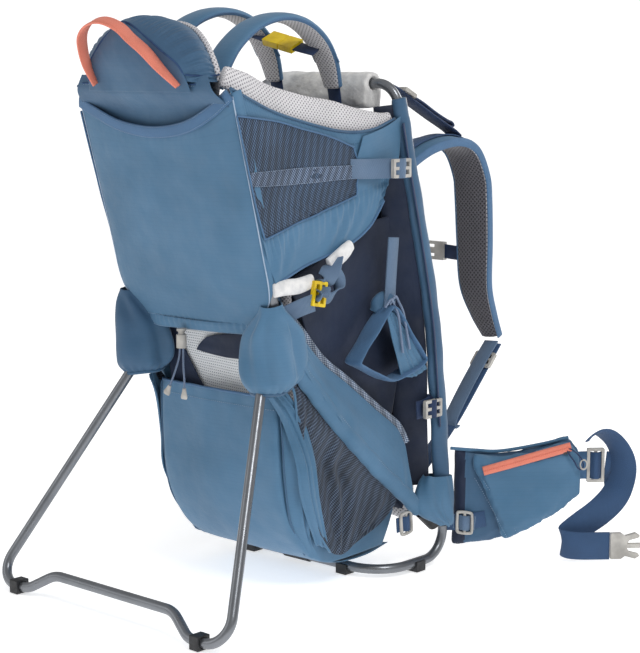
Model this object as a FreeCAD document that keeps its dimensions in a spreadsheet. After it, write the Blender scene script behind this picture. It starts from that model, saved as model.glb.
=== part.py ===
import FreeCAD, Part
import math
import os
import Sketcher
from FreeCAD import Placement, Rotation, Vector

# A framed child carrier. Axes: +X the wearer's right, +Y towards the wearer, +Z up.
# The origin is on the floor, under the middle of the frame's rear ground bar.
# Outlines are drawn on a frame of these three sizes, and stretch with the real ones.
DRAWN_HALF_WIDTH = 146.0
DRAWN_DEPTH = 130.0
DRAWN_HEIGHT = 640.0

SIZES = {
    # overall
    "frame_half_width": 146.0,
    "frame_depth": 130.0,
    "frame_height": 640.0,
    # tubes and their clips
    "tube_dia": 12.7,
    "tube_wall": 1.5,
    "sleeve_wall": 1.6,
    "sleeve_length": 44.0,
    "clip_length": 18.0,
    "clip_wall": 2.6,
    "clip_sole": 4.5,
    "tube_fit": 0.15,
    # kickstand hinge
    "pivot_inset": 21.65,
    "pin_dia": 8.0,
    "pin_fit": 0.06,
    "eyelet_dia": 22.0,
    "eyelet_width": 16.0,
    "knuckle_plate": 8.0,
    "knuckle_wall": 4.0,
    "knuckle_clamp_length": 26.0,
    "hinge_gap": 1.0,
    "stem_length": 20.0,
    # soft parts
    "panel_gap": 1.2,
    "pocket_depth": 10.0,
    "panel_thick": 14.0,
    "side_thick": 9.0,
    "seat_thick": 34.0,
    "headrest_thick": 30.0,
    "collar_thick": 9.0,
    "pad_thick": 14.0,
    "mesh_pad_thick": 16.0,
    "lumbar_thick": 24.0,
    "fin_thick": 16.0,
    "hip_pocket_thick": 13.0,
    "cover_thick": 3.0,
    "strap_width": 60.0,
    "strap_thick": 15.0,
    # webbing and its fittings
    "webbing_thick": 2.0,
    "narrow_webbing": 25.0,
    "hip_webbing": 38.0,
    "handle_width": 20.0,
    "lock_thick": 5.0,
    "lock_bar": 4.0,
    "slot_fit": 0.6,
    "buckle_thick": 11.0,
    "buckle_fit": 0.5,
    "cord_dia": 2.6,
    "cord_lock_dia": 13.0,
    "plunger_dia": 8.0,
    "plunger_travel": 3.0,
}

RIGHT, LEFT = 1, -1
SIDE_NAMES = {RIGHT: "right", LEFT: "left"}
EAST = Vector(1, 0, 0)
NORTH = Vector(0, 1, 0)
UP = Vector(0, 0, 1)

doc = FreeCAD.newDocument("child_carrier")
sheet = doc.addObject("Spreadsheet::Sheet", "sizes")
for row, (alias, value) in enumerate(SIZES.items(), 1):
    sheet.set(f"A{row}", alias)
    sheet.set(f"B{row}", str(value))
    sheet.setAlias(f"B{row}", alias)
doc.recompute()

subparts = {}


def size(alias):
    return float(sheet.get(alias))


WIDE = size("frame_half_width") / DRAWN_HALF_WIDTH
DEEP = size("frame_depth") / DRAWN_DEPTH
TALL = size("frame_height") / DRAWN_HEIGHT
TUBE_RADIUS = size("tube_dia") / 2
BAR_HEIGHT = size("clip_sole") + TUBE_RADIUS


# ---- helpers -------------------------------------------------------------------------


def across(x):
    """An expression: a drawn X, stretched with the frame's width."""
    return f"({x} * sizes.frame_half_width / {DRAWN_HALF_WIDTH})"


def deep(y):
    """An expression: a drawn Y, stretched with the frame's depth."""
    return f"({y} * sizes.frame_depth / {DRAWN_DEPTH})"


def tall(z):
    """An expression: a drawn Z, stretched with the frame's height."""
    return f"({z} * sizes.frame_height / {DRAWN_HEIGHT})"


def side_view(points):
    return [(deep(y), tall(z)) for y, z in points]


def rear_view(points):
    return [(across(x), tall(z)) for x, z in points]


def top_view(points):
    return [(across(x), deep(y)) for x, y in points]


def at(x, y, z):
    """A drawn point, stretched with the frame."""
    return Vector(x * WIDE, y * DEEP, z * TALL)


def keep(label, piece):
    """Register a document object as the sub-part of that name."""
    piece.Label = label
    subparts[label] = piece
    return piece


def feature(name, shape):
    piece = doc.addObject("Part::Feature", name)
    piece.Shape = shape
    return piece


def joined(name, pieces):
    """Several loose solids, or touching ones, as one object."""
    group = doc.addObject("Part::Compound", name)
    group.Links = pieces
    return group


def fused(name, pieces):
    whole = doc.addObject("Part::MultiFuse", name)
    whole.Shapes = pieces
    return whole


def cut(name, base, tool):
    result = doc.addObject("Part::Cut", name)
    result.Base = base
    result.Tool = tool
    return result


def facing(direction):
    """The rotation that turns +Z to a direction."""
    return Rotation(UP, direction)


def cylinder(name, start, direction, radius, length):
    """radius and length are expressions."""
    piece = doc.addObject("Part::Cylinder", name)
    piece.setExpression("Radius", radius)
    piece.setExpression("Height", length)
    piece.Placement = Placement(start, facing(direction))
    return piece


def block(name, corner, sizes_xyz, turn=Rotation()):
    """A box; its three sizes are expressions, and corner is its lowest one."""
    piece = doc.addObject("Part::Box", name)
    for side, expression in zip(("Length", "Width", "Height"), sizes_xyz):
        piece.setExpression(side, expression)
    piece.Placement = Placement(corner, turn)
    return piece


def bend(before, here, after, radius):
    """Where an arc of that radius starts, passes and ends at a corner."""
    back = (before - here).normalize()
    ahead = (after - here).normalize()
    half = back.getAngle(ahead) / 2
    inward = (back + ahead).normalize()
    reach = radius / math.tan(half)
    middle = here + inward * (radius / math.sin(half) - radius)
    return here + back * reach, middle, here + ahead * reach


def bent_wire(points, radii):
    """Straight runs joined by tangent arcs, one radius for each inner point."""
    edges = []
    last = points[0]
    for i, radius in enumerate(radii, 1):
        start, middle, end = bend(points[i - 1], points[i], points[i + 1], radius)
        edges.append(Part.makeLine(last, start))
        edges.append(Part.Arc(start, middle, end).toShape())
        last = end
    edges.append(Part.makeLine(last, points[-1]))
    return Part.Wire(edges)


def swept_rod(name, path, start, direction, radius):
    ring = doc.addObject("Part::Circle", name + "_ring")
    ring.setExpression("Radius", radius)
    ring.Placement = Placement(start, facing(direction))
    rod = doc.addObject("Part::Sweep", name)
    rod.Sections = [ring]
    rod.Spine = (path, [f"Edge{i + 1}" for i in range(len(path.Shape.Edges))])
    rod.Solid = True
    return rod


def bent_tube(label, points, radii):
    """A round tube with a wall, bent along a path."""
    path = feature(label + "_path", bent_wire(points, radii))
    heading = points[1] - points[0]
    outer = swept_rod(label + "_outside", path, points[0], heading, "sizes.tube_dia / 2")
    bore_radius = "sizes.tube_dia / 2 - sizes.tube_wall"
    bore = swept_rod(label + "_bore", path, points[0], heading, bore_radius)
    return keep(label, cut(label, outer, bore))


def mirrored_path(half, half_radii):
    """A path and its mirror image, from the +X end to the -X end."""
    other = [Vector(-p.x, p.y, p.z) for p in reversed(half)]
    return half + other, half_radii + list(reversed(half_radii))


def sketch_on(body, plane, offset="0"):
    sketch = body.newObject("Sketcher::SketchObject", body.Name + "_sketch")
    for part in body.Origin.OriginFeatures:
        if part.Role == plane:
            sketch.AttachmentSupport = [(part, "")]
    sketch.MapMode = "FlatFace"
    sketch.setExpression("AttachmentOffset.Base.z", offset)
    return sketch


def draw_outline(sketch, points):
    """A closed outline; each corner's two coordinates are expressions."""
    first = sketch.GeometryCount
    count = len(points)
    for i in range(count):
        turn, after = (2 * math.pi * k / count for k in (i, i + 1))
        a = Vector(9 * math.cos(turn), 9 * math.sin(turn), 0)
        b = Vector(9 * math.cos(after), 9 * math.sin(after), 0)
        sketch.addGeometry(Part.LineSegment(a, b))
    for i in range(count):
        line, following = first + i, first + (i + 1) % count
        sketch.addConstraint(Sketcher.Constraint("Coincident", line, 2, following, 1))
    for i, (u, v) in enumerate(points):
        for kind, expression in (("DistanceX", u), ("DistanceY", v)):
            rule = Sketcher.Constraint(kind, -1, 1, first + i, 1, 1.0)
            number = sketch.addConstraint(rule)
            sketch.setExpression(f"Constraints[{number}]", expression)


def edges_of(shape, wanted):
    return [f"Edge{i + 1}" for i, edge in enumerate(shape.Edges) if wanted(edge)]


def heading_of(edge):
    middle = (edge.FirstParameter + edge.LastParameter) / 2
    return edge.tangentAt(middle)


def rounded(body, name, base, edges, radius):
    fillet = body.newObject("PartDesign::Fillet", name)
    fillet.Base = (base, edges)
    fillet.Radius = radius
    body.Tip = fillet
    doc.recompute()
    return fillet


PLANE_NORMALS = {"XY_Plane": UP, "XZ_Plane": -NORTH, "YZ_Plane": EAST}


def panel(label, plane, outline, start, depth, corner=0, soft=0, place=Placement()):
    """A pad of a closed outline, from start along the plane's normal, with its corners
    rounded by one radius and the edges of its two faces softened by another."""
    body = doc.addObject("PartDesign::Body", label)
    sketch = sketch_on(body, plane, start)
    draw_outline(sketch, outline)
    pad = body.newObject("PartDesign::Pad", label + "_pad")
    pad.Profile = sketch
    pad.setExpression("Length", depth)
    doc.recompute()
    normal = PLANE_NORMALS[plane]
    tip = pad
    if corner:
        along = edges_of(tip.Shape, lambda e: abs(heading_of(e).dot(normal)) > 0.999)
        tip = rounded(body, label + "_corners", tip, along, corner)
    if soft:
        rim = edges_of(tip.Shape, lambda e: abs(heading_of(e).dot(normal)) < 0.01)
        rounded(body, label + "_softened", tip, rim, soft)
    body.Placement = place
    return keep(label, body)


def quad_faces(a, b, c, d):
    """One flat face through four points, or two triangles where they aren't in a plane."""
    normal = (b - a).cross(c - a).normalize()
    if abs((d - a).dot(normal)) < 1e-6:
        return [Part.Face(Part.makePolygon([a, b, c, d, a]))]
    return [Part.Face(Part.makePolygon([a, b, c, a])), Part.Face(Part.makePolygon([a, c, d, a]))]


def ribbon_shape(stations, width, thick):
    """A flat band through stations, each of them a point and the way the width runs."""
    points = [point for point, _ in stations]
    sections = []
    for i, (point, width_way) in enumerate(stations):
        before = points[max(i - 1, 0)]
        after = points[min(i + 1, len(points) - 1)]
        heading = (after - before).normalize()
        side = (width_way - heading * width_way.dot(heading)).normalize() * (width / 2)
        normal = heading.cross(side).normalize() * (thick / 2)
        corners = [point + side + normal, point - side + normal]
        sections.append(corners + [point - side - normal, point + side - normal])
    faces = quad_faces(*sections[0]) + quad_faces(*sections[-1])
    for near, far in zip(sections, sections[1:]):
        for k, after in ((0, 1), (3, 2), (1, 2), (0, 3)):
            faces += quad_faces(near[k], near[after], far[after], far[k])
    shell = Part.Shell(faces)
    shell.sewShape()
    solid = Part.Solid(shell)
    solid.fix(1e-6, 1e-6, 1e-6)
    return solid


def straight_ribbon(points, width, thick, width_way=EAST):
    return ribbon_shape([(point, width_way) for point in points], width, thick)


def lock_parts(name, place, webbing, thick="sizes.lock_thick"):
    """A ladder lock lying in its own XY plane: a frame, its middle bar and two slots
    for webbing of that width, which runs along X."""
    bar = "sizes.lock_bar"
    slot = "6.0"
    body = doc.addObject("PartDesign::Body", name)
    sketch = sketch_on(body, "XY_Plane")
    half_long = f"(1.5 * {bar} + {slot})"
    half_wide = f"({webbing} / 2 + sizes.slot_fit + {bar})"
    corners = [(-1, -1), (1, -1), (1, 1), (-1, 1)]
    draw_outline(sketch, [(f"{u} * {half_long}", f"{v} * {half_wide}") for u, v in corners])
    for way in (-1, 1):
        near = f"({way} * {bar} / 2)"
        far = f"({way} * ({bar} / 2 + {slot}))"
        edge = f"({webbing} / 2 + sizes.slot_fit)"
        draw_outline(sketch, [(near, f"-{edge}"), (far, f"-{edge}"), (far, edge), (near, edge)])
    pad = body.newObject("PartDesign::Pad", name + "_pad")
    pad.Profile = sketch
    pad.setExpression("Length", thick)
    doc.recompute()
    outside = edges_of(pad.Shape, lambda e: abs(heading_of(e).z) > 0.999 and on_rim(e, pad))
    rounded(body, name + "_corners", pad, outside, 2.0)
    body.Placement = place
    return body


def on_rim(edge, pad):
    """Whether an upright edge is at an outside corner of the pad."""
    box = pad.Shape.BoundBox
    point = edge.Vertexes[0].Point
    return min(point.x - box.XMin, box.XMax - point.x) < 0.01


# ---- frame ---------------------------------------------------------------------------

MAIN_CORNERS = [
    Vector(146 * WIDE, 0, BAR_HEIGHT),
    Vector(146 * WIDE, 130 * DEEP, BAR_HEIGHT),
    at(146, 112, 290),
    at(122, 52, 640),
]
MAIN_RADII = [50.0, 36.0, 300.0, 30.0]
TUBE_END_GAP = 0.5


def main_frame_tube():
    """One tube bent to a loop. Its two ends meet in a sleeve on the ground bar."""
    start = Vector(TUBE_END_GAP, 0, BAR_HEIGHT)
    points, radii = mirrored_path([start] + MAIN_CORNERS, MAIN_RADII)
    bent_tube("main_frame_tube", points, radii)


def frame_coupling_sleeve():
    half = size("sleeve_length") / 2
    start = Vector(-half, 0, BAR_HEIGHT)
    outside = "sizes.tube_dia / 2 + sizes.sleeve_wall"
    inside = "sizes.tube_dia / 2 + sizes.tube_fit"
    outer = cylinder("sleeve_outside", start, EAST, outside, "sizes.sleeve_length")
    bore = cylinder("sleeve_bore", start, EAST, inside, "sizes.sleeve_length")
    keep("frame_coupling_sleeve", cut("frame_coupling_sleeve", outer, bore))


STRUT_FOOT = at(143, 100, 66)
STRUT_BEND = at(140, -40, 182)
HOOP_KNEE = at(128, -168, 335)
HOOP_TOP = at(128, -246, 625)


def rear_frame_tube():
    """Two diagonal struts and the hoop of the rear panel, in one bent tube."""
    half = [STRUT_FOOT, STRUT_BEND, HOOP_KNEE, HOOP_TOP]
    points, radii = mirrored_path(half, [250.0, 50.0, 35.0])
    bent_tube("rear_frame_tube", points, radii)


def lower_corner_joints():
    """A ring on each upright with a socket that takes the strut's end."""
    pair = []
    up_way = (MAIN_CORNERS[2] - MAIN_CORNERS[1]).normalize()
    strut_way = (STRUT_BEND - STRUT_FOOT).normalize()
    for side in (RIGHT, LEFT):
        name = "corner_joint_" + SIDE_NAMES[side]
        flip = Vector(side, 1, 1)
        foot = mirrored(STRUT_FOOT, flip)
        upward = mirrored(up_way, flip)
        outward = mirrored(strut_way, flip)
        rise = (foot.z - MAIN_CORNERS[1].z) / up_way.z
        ring_centre = mirrored(MAIN_CORNERS[1] + up_way * rise, flip) - upward * 14
        wall = "sizes.tube_dia / 2 + 3.4"
        fit = "sizes.tube_dia / 2 + sizes.tube_fit"
        ring = cylinder(name + "_ring", ring_centre, upward, wall, "28.0")
        socket_start = foot - outward * 16
        socket = cylinder(name + "_socket", socket_start, outward, wall, "34.0")
        body = fused(name + "_body", [ring, socket])
        tube_bore = cylinder(name + "_bore", ring_centre - upward * 20, upward, fit, "70.0")
        strut_bore = cylinder(name + "_pocket", foot - outward * 0.2, outward, fit, "60.0")
        pair.append(cut(name + "_cut", body, fused(name + "_bores", [tube_bore, strut_bore])))
    keep("lower_corner_joints", joined("lower_corner_joints", pair))


def mirrored(vector, flip):
    return Vector(vector.x * flip.x, vector.y * flip.y, vector.z * flip.z)


def clip(name, centre, turn):
    """A foot that snaps over the ground tube, with a sole under it."""
    length = size("clip_length")
    width = size("tube_dia") + 2 * size("clip_wall")
    height = "sizes.clip_sole + sizes.tube_dia / 2 + 3"
    corner = centre + turn.multVec(Vector(-length / 2, -width / 2, 0))
    sizes_xyz = ("sizes.clip_length", "sizes.tube_dia + 2 * sizes.clip_wall", height)
    shoe = block(name + "_block", corner, sizes_xyz, turn)
    way = turn.multVec(EAST)
    start = centre - way * length + UP * BAR_HEIGHT
    fit = "sizes.tube_dia / 2 + sizes.tube_fit"
    bore = cylinder(name + "_bore", start, way, fit, "2 * sizes.clip_length")
    return cut(name, shoe, bore)


def ground_clips():
    sideways = Rotation(UP, 90)
    side_y = 72.5 * DEEP
    rear_x = size("frame_half_width") - 50 - size("clip_length") / 2 - 3
    rear = [clip(f"clip_{n}", Vector(side * rear_x, 0, 0), Rotation())
            for n, side in (("rear_right", RIGHT), ("rear_left", LEFT))]
    flank = [clip(f"clip_{n}", Vector(side * 146 * WIDE, side_y, 0), sideways)
             for n, side in (("side_right", RIGHT), ("side_left", LEFT))]
    keep("rear_ground_clips", joined("rear_ground_clips", rear))
    keep("side_ground_clips", joined("side_ground_clips", flank))


# ---- kickstand and its hinge -----------------------------------------------------------

HOOP_WAY = (HOOP_TOP - HOOP_KNEE).normalize()
PIVOT_HEIGHT = 320.0 * TALL
PIVOT_DEPTH = HOOP_KNEE.y + HOOP_WAY.y / HOOP_WAY.z * (PIVOT_HEIGHT - HOOP_KNEE.z)
PIVOT_X = 128 * WIDE - TUBE_RADIUS - size("pivot_inset")
STAND_FOOT_DEPTH = -344.0 * DEEP
FOOT_SOLE = 2.4
FOOT_CENTRE = Vector(0, STAND_FOOT_DEPTH, TUBE_RADIUS + FOOT_SOLE)
PIVOT = Vector(0, PIVOT_DEPTH, PIVOT_HEIGHT)
STAND_LENGTH = (FOOT_CENTRE - PIVOT).Length
DOWN_STAND = (FOOT_CENTRE - PIVOT).normalize()
HOOP_TILT = math.degrees(math.atan2(-HOOP_WAY.y, HOOP_WAY.z))
KNUCKLE_RISE = 41.0 * TALL


def hinge_knuckle(side):
    """A clamp on the hoop tube with an arm down to the pivot pin, which ends in a head."""
    name = "hinge_knuckle_" + SIDE_NAMES[side]
    tube_x = side * 128 * WIDE
    inward = Vector(-side, 0, 0)
    half_clamp = size("knuckle_clamp_length") / 2
    clamp_start = Vector(tube_x, PIVOT.y, PIVOT.z) + HOOP_WAY * (KNUCKLE_RISE - half_clamp)
    wall = "sizes.tube_dia / 2 + sizes.knuckle_wall"
    clamp = cylinder(name + "_clamp", clamp_start, HOOP_WAY, wall, "sizes.knuckle_clamp_length")
    plate = size("knuckle_plate")
    plate_face = PIVOT_X + size("eyelet_width") / 2 + size("hinge_gap") + 4
    plate_x = plate_face if side == RIGHT else -plate_face - plate
    turn = Rotation(EAST, HOOP_TILT)
    arm_corner = Vector(plate_x, PIVOT.y, PIVOT.z) + turn.multVec(Vector(0, -9, 0))
    arm_sizes = ("sizes.knuckle_plate", "18.0", f"{KNUCKLE_RISE}")
    arm = block(name + "_arm", arm_corner, arm_sizes, turn)
    boss_start = Vector(side * (plate_face + plate), PIVOT.y, PIVOT.z)
    boss = cylinder(name + "_boss", boss_start, inward, "sizes.eyelet_dia / 2", "sizes.knuckle_plate")
    pin_length = "sizes.knuckle_plate + 4 + 2 * sizes.hinge_gap + sizes.eyelet_width"
    pin = cylinder(name + "_pin", boss_start, inward, "sizes.pin_dia / 2", pin_length)
    head_reach = plate + 4 + 2 * size("hinge_gap") + size("eyelet_width")
    head = cylinder(name + "_head", boss_start + inward * head_reach, inward,
                    "sizes.pin_dia / 2 + 3", "3.0")
    whole = fused(name + "_body", [clamp, arm, boss, pin, head])
    bore_start = clamp_start - HOOP_WAY * 5
    fit = "sizes.tube_dia / 2 + sizes.tube_fit"
    bore = cylinder(name + "_bore", bore_start, HOOP_WAY, fit, "sizes.knuckle_clamp_length + 10")
    keep(name, cut(name, whole, bore))


def stand_point(x, down):
    return PIVOT + EAST * x + DOWN_STAND * down


LEG_TOP = stand_point(PIVOT_X, 0)
LEG_BOTTOM = stand_point(212 * WIDE, STAND_LENGTH)
LEG_WAY = (LEG_BOTTOM - LEG_TOP).normalize()


def kickstand_tube():
    """A wide U whose ground bar is raised between its two feet."""
    half = [
        LEG_TOP + LEG_WAY * size("stem_length"),
        LEG_BOTTOM,
        stand_point(146 * WIDE, STAND_LENGTH),
        stand_point(108 * WIDE, STAND_LENGTH - 25),
    ]
    points, radii = mirrored_path(half, [28.0, 30.0, 40.0])
    bent_tube("kickstand_tube", points, radii)


def kickstand_eyelets():
    """The end fitting of each leg: an eye on the pin, and a stem that meets the tube."""
    pair = []
    for side in (RIGHT, LEFT):
        name = "eyelet_" + SIDE_NAMES[side]
        half = size("eyelet_width") / 2
        centre = Vector(side * PIVOT_X, PIVOT.y, PIVOT.z)
        start = centre + EAST * half
        eye = cylinder(name + "_eye", start, -EAST, "sizes.eyelet_dia / 2", "sizes.eyelet_width")
        way = Vector(side * LEG_WAY.x, LEG_WAY.y, LEG_WAY.z)
        inset = size("pin_dia")
        stem_length = f"sizes.stem_length - {inset}"
        stem = cylinder(name + "_stem", centre + way * inset, way, "sizes.tube_dia / 2", stem_length)
        bore_start = centre - EAST * (half + 10)
        fit = "sizes.pin_dia / 2 + sizes.pin_fit"
        bore = cylinder(name + "_bore", bore_start, EAST, fit, "sizes.eyelet_width + 20")
        pair.append(fused(name, [cut(name + "_ring", eye, bore), stem]))
    keep("kickstand_eyelets", joined("kickstand_eyelets", pair))


def kickstand_feet():
    """A shoe around the ground bar's lowest stretch on each side."""
    pair = []
    for side in (RIGHT, LEFT):
        name = "foot_" + SIDE_NAMES[side]
        centre = Vector(side * 165 * WIDE, STAND_FOOT_DEPTH, TUBE_RADIUS + FOOT_SOLE)
        length = 15.0 * WIDE
        height = size("tube_dia") + 2 * FOOT_SOLE
        corner = centre - Vector(length / 2, height / 2 + 1, height / 2)
        shoe = block(name + "_block", corner, (f"{length}", f"{height + 2}", f"{height}"))
        fit = "sizes.tube_dia / 2 + sizes.tube_fit"
        bore = cylinder(name + "_bore", centre - EAST * length, EAST, fit, f"{2 * length}")
        pair.append(cut(name, shoe, bore))
    keep("kickstand_feet", joined("kickstand_feet", pair))


def hinge_cover(side):
    """Gathered fabric around the hinge: a channel, open in front, above and below."""
    hoop_x = 128 * WIDE
    inner_x, outer_x = hoop_x - 44, hoop_x + TUBE_RADIUS + 5.15
    rear_y, front_y = -209 * DEEP, -108 * DEEP
    wall = size("cover_thick")
    ring = [
        (inner_x, front_y),
        (inner_x, rear_y),
        (outer_x, rear_y),
        (outer_x, front_y),
        (outer_x + wall, front_y),
        (outer_x + wall, rear_y - wall),
        (inner_x - wall, rear_y - wall),
        (inner_x - wall, front_y),
    ]
    outline = [(f"{side * x}", f"{y}") for x, y in ring]
    label = "hinge_cover_" + SIDE_NAMES[side]
    panel(label, "XY_Plane", outline, tall(270), tall(74))


# ---- child's compartment ---------------------------------------------------------------

# The rear plane leans with the hoop: its own Y runs forward and its own Z up the hoop.
REAR_PLANE = Placement(HOOP_KNEE - EAST * HOOP_KNEE.x, Rotation(EAST, HOOP_TILT))


def rear_pocket():
    """The outer rear panel, hemmed lower in its middle."""
    start = "sizes.tube_dia / 2 + sizes.panel_gap"
    half = [(97, 14), (130, 56), (133, 290), (112, 296), (62, 268), (0, 258)]
    other = [(-x, z) for x, z in reversed(half[:-1])]
    outline = rear_view(half + other)
    panel("rear_pocket", "XZ_Plane", outline, start, "sizes.pocket_depth", 6, 3, REAR_PLANE)


def child_back_panel():
    start = "-(sizes.tube_dia / 2 + sizes.panel_gap + sizes.panel_thick)"
    outline = rear_view([(-108, 42), (108, 42), (112, 270), (-112, 270)])
    panel("child_back_panel", "XZ_Plane", outline, start, "sizes.panel_thick", 24, 4, REAR_PLANE)


def headrest_cushion():
    """A dome on top of the hoop that leans over the child."""
    half = [(117, 0), (113, 28), (88, 58), (44, 82)]
    other = [(-x, z) for x, z in reversed(half)]
    lean = Placement(at(0, -249, 641), Rotation(EAST, -15))
    panel("headrest_cushion", "XZ_Plane", rear_view(half + other), "0", "sizes.headrest_thick",
          12, 8, lean)


def grab_handle():
    """A flat loop that stands out behind the headrest."""
    half = [at(71, -290, 645), at(68, -300, 672), at(54, -313, 696), at(30, -323, 711)]
    points = half + [at(0, -326, 716)] + [Vector(-p.x, p.y, p.z) for p in reversed(half)]
    loop_normal = Vector(0, 0.85, 0.52)
    shape = straight_ribbon(points, size("handle_width"), size("webbing_thick"), loop_normal)
    keep("grab_handle", feature("grab_handle", shape))


COCKPIT_EDGE = [(-232, 622), (-186, 606), (-137, 593), (-47, 578), (34, 590)]


def flank(label, side, outline, inner_x, thick, corner=0, soft=0):
    """A panel on one side, whose inner face is at inner_x."""
    start = across(inner_x)
    if side == LEFT:
        start = f"(-{across(inner_x)} - {thick})"
    return panel(label, "YZ_Plane", outline, start, thick, corner, soft)


def cockpit_side(side):
    lower = [(30, 494), (-8, 464), (-65, 437), (-138, 408), (-172, 398), (-196, 470)]
    outline = side_view(COCKPIT_EDGE + lower)
    flank("cockpit_side_" + SIDE_NAMES[side], side, outline, 122.5, "sizes.side_thick", 5, 3)


def cockpit_collar(side):
    """The padded rim that stands up inside the cockpit side."""
    top = [(-228, 648), (-197, 645), (-132, 627), (-60, 616), (34, 603)]
    bottom = [(y, z - 20) for y, z in reversed(COCKPIT_EDGE[1:])]
    outline = side_view(top + bottom)
    flank("cockpit_collar_" + SIDE_NAMES[side], side, outline, 111, "sizes.collar_thick", 6, 3)


def chin_pad():
    """A fleece roll around the top bar, in front of the child's face."""
    outline = side_view([(33, 607), (69, 607), (71, 640), (63, 656), (41, 656), (33, 640)])
    body = panel("chin_pad", "YZ_Plane", outline, across(-88), across(176), 6, 3)
    radius = "sizes.tube_dia / 2 + sizes.panel_gap"
    start = at(-100, 52, 640)
    bore = cylinder("chin_pad_bore", start, EAST, radius, across(200))
    body.Label = "chin_pad_block"
    keep("chin_pad", cut("chin_pad_cut", body, bore))


# The left shoulder pad stands this much higher than the right one.
FAR_PAD_LIFT = 8


def harness_pad(side):
    """A shoulder pad of the child's harness, arched over the headrest's front."""
    line = [(-203, 646), (-191, 668), (-172, 690), (-140, 711), (-98, 722), (-56, 717),
            (-22, 697), (0, 668), (13, 634)]
    lift = 0 if side == RIGHT else FAR_PAD_LIFT
    points = [at(side * 52, y, z + lift) for y, z in line]
    shape = straight_ribbon(points, 42.0, 12.0)
    label = "harness_pad_" + SIDE_NAMES[side]
    keep(label, feature(label, shape))


def harness_webbing():
    """Webbing from each shoulder pad down to the seat."""
    lines = []
    for side in (RIGHT, LEFT):
        points = [at(side * 51, 16, 622), at(side * 46, 22, 570), at(side * 34, 18, 460),
                  at(side * 22, 6, 360)]
        lines.append(straight_ribbon(points, size("narrow_webbing"), size("webbing_thick")))
    keep("harness_webbing", feature("harness_webbing", Part.makeCompound(lines)))


BUCKLE_CENTRE = at(0, -26, 692)
# The far pad sits higher, so the buckle slopes down to the near one, its face turned back.
BUCKLE_TURN = Rotation(NORTH, 12.5).multiply(Rotation(EAST, 28))


def buckle_block(name, start, sizes_xyz):
    """A block of the chest buckle, its first corner given from the buckle's centre."""
    corner = BUCKLE_CENTRE + BUCKLE_TURN.multVec(Vector(*start))
    return block(name, corner, tuple(f"{value}" for value in sizes_xyz), BUCKLE_TURN)


def harness_buckle():
    """A side-release buckle across the two shoulder pads: a box and a plug in it."""
    reach = 28.0 * WIDE
    hollow = 17.0 * WIDE
    width, thick = 24.0, 9.0
    wall = 2.2
    shell = buckle_block("chest_shell", (-reach, -width / 2, -thick / 2), (reach, width, thick))
    inside_width, inside_thick = width - 2 * wall, thick - 2 * wall
    mouth = buckle_block("chest_mouth", (-hollow, -inside_width / 2, -inside_thick / 2),
                         (hollow + 1, inside_width, inside_thick))
    keep("harness_buckle_female", cut("harness_buckle_female", shell, mouth))
    fit = size("buckle_fit")
    plug_width, plug_thick = inside_width - 2 * fit, inside_thick - 2 * fit
    plug = buckle_block("chest_plug", (1 - hollow, -plug_width / 2, -plug_thick / 2),
                        (hollow + 1, plug_width, plug_thick))
    grip = buckle_block("chest_grip", (0.6, -width / 2, -thick / 2), (reach - 4, width, thick))
    keep("harness_buckle_male", fused("harness_buckle_male", [plug, grip]))


LOOP_X = 138.0


def leg_loops():
    """A padded strap below each side opening, with its adjuster."""
    loops = []
    for side in (RIGHT, LEFT):
        points = [at(side * LOOP_X, y, z) for y, z in ((-166, 398), (-128, 388), (-96, 402), (-66, 428))]
        way = Vector(0, -0.2, 1)
        loops.append(ribbon_shape([(point, way) for point in points], 26.0, 7.0))
    keep("leg_loops", feature("leg_loops", Part.makeCompound(loops)))


def leg_adjusters():
    pair = []
    for side in (RIGHT, LEFT):
        place = Placement(at(side * LOOP_X, -118, 388) + EAST * side * 4.2, upright_lock(side, 80))
        pair.append(lock_parts("leg_adjuster_" + SIDE_NAMES[side], place, "22.0"))
    keep("leg_adjusters", joined("leg_adjusters", pair))


def upright_lock(side, run):
    """A lock whose face looks outward, its webbing at that angle from level in side view."""
    outward = Rotation(NORTH, 90 * side)
    return Rotation(EAST, run).multiply(outward)


def seat_cushion():
    outline = top_view([(-98, -98), (98, -98), (98, 64), (-98, 64)])
    start = f"({tall(330)} - sizes.seat_thick)"
    panel("seat_cushion", "XY_Plane", outline, start, "sizes.seat_thick", 26, 9)


def seat_side(side):
    outline = side_view([(-96, 300), (-96, 384), (-148, 398), (-60, 434), (0, 462), (54, 468),
                         (80, 262), (58, 204), (-10, 236)])
    flank("seat_side_" + SIDE_NAMES[side], side, outline, 110.5, "6.0", 4, 1.5)


# ---- wearer's side ----------------------------------------------------------------------


def wearer_back_panel():
    back = [(94, 62), (94, 290), (40, 600)]
    front = [(y + size("panel_thick"), z) for y, z in reversed(back)]
    panel("wearer_back_panel", "YZ_Plane", side_view(back + front), across(-105), across(210), 4, 3)


def back_mesh_pads():
    """Two upright ribs of padding, left and right of the wearer's spine."""
    pads = []
    face = 94 + size("panel_thick") + size("panel_gap")
    for side in (RIGHT, LEFT):
        name = "mesh_pad_" + SIDE_NAMES[side]
        thick = size("mesh_pad_thick")
        outline = side_view([(face, 186), (face + thick, 192), (face + thick, 282), (face, 288)])
        start = across(46 if side == RIGHT else -102)
        pad = panel(name, "YZ_Plane", outline, start, across(56), 3, 2)
        del subparts[name]
        pads.append(pad)
    keep("back_mesh_pads", joined("back_mesh_pads", pads))


def lumbar_pad():
    face = 94 + size("panel_thick") + size("panel_gap")
    thick = size("lumbar_thick")
    outline = side_view([(face, 40), (face + thick, 50), (face + thick, 172), (face, 180)])
    panel("lumbar_pad", "YZ_Plane", outline, across(-106), across(212), 6, 4)


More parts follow.
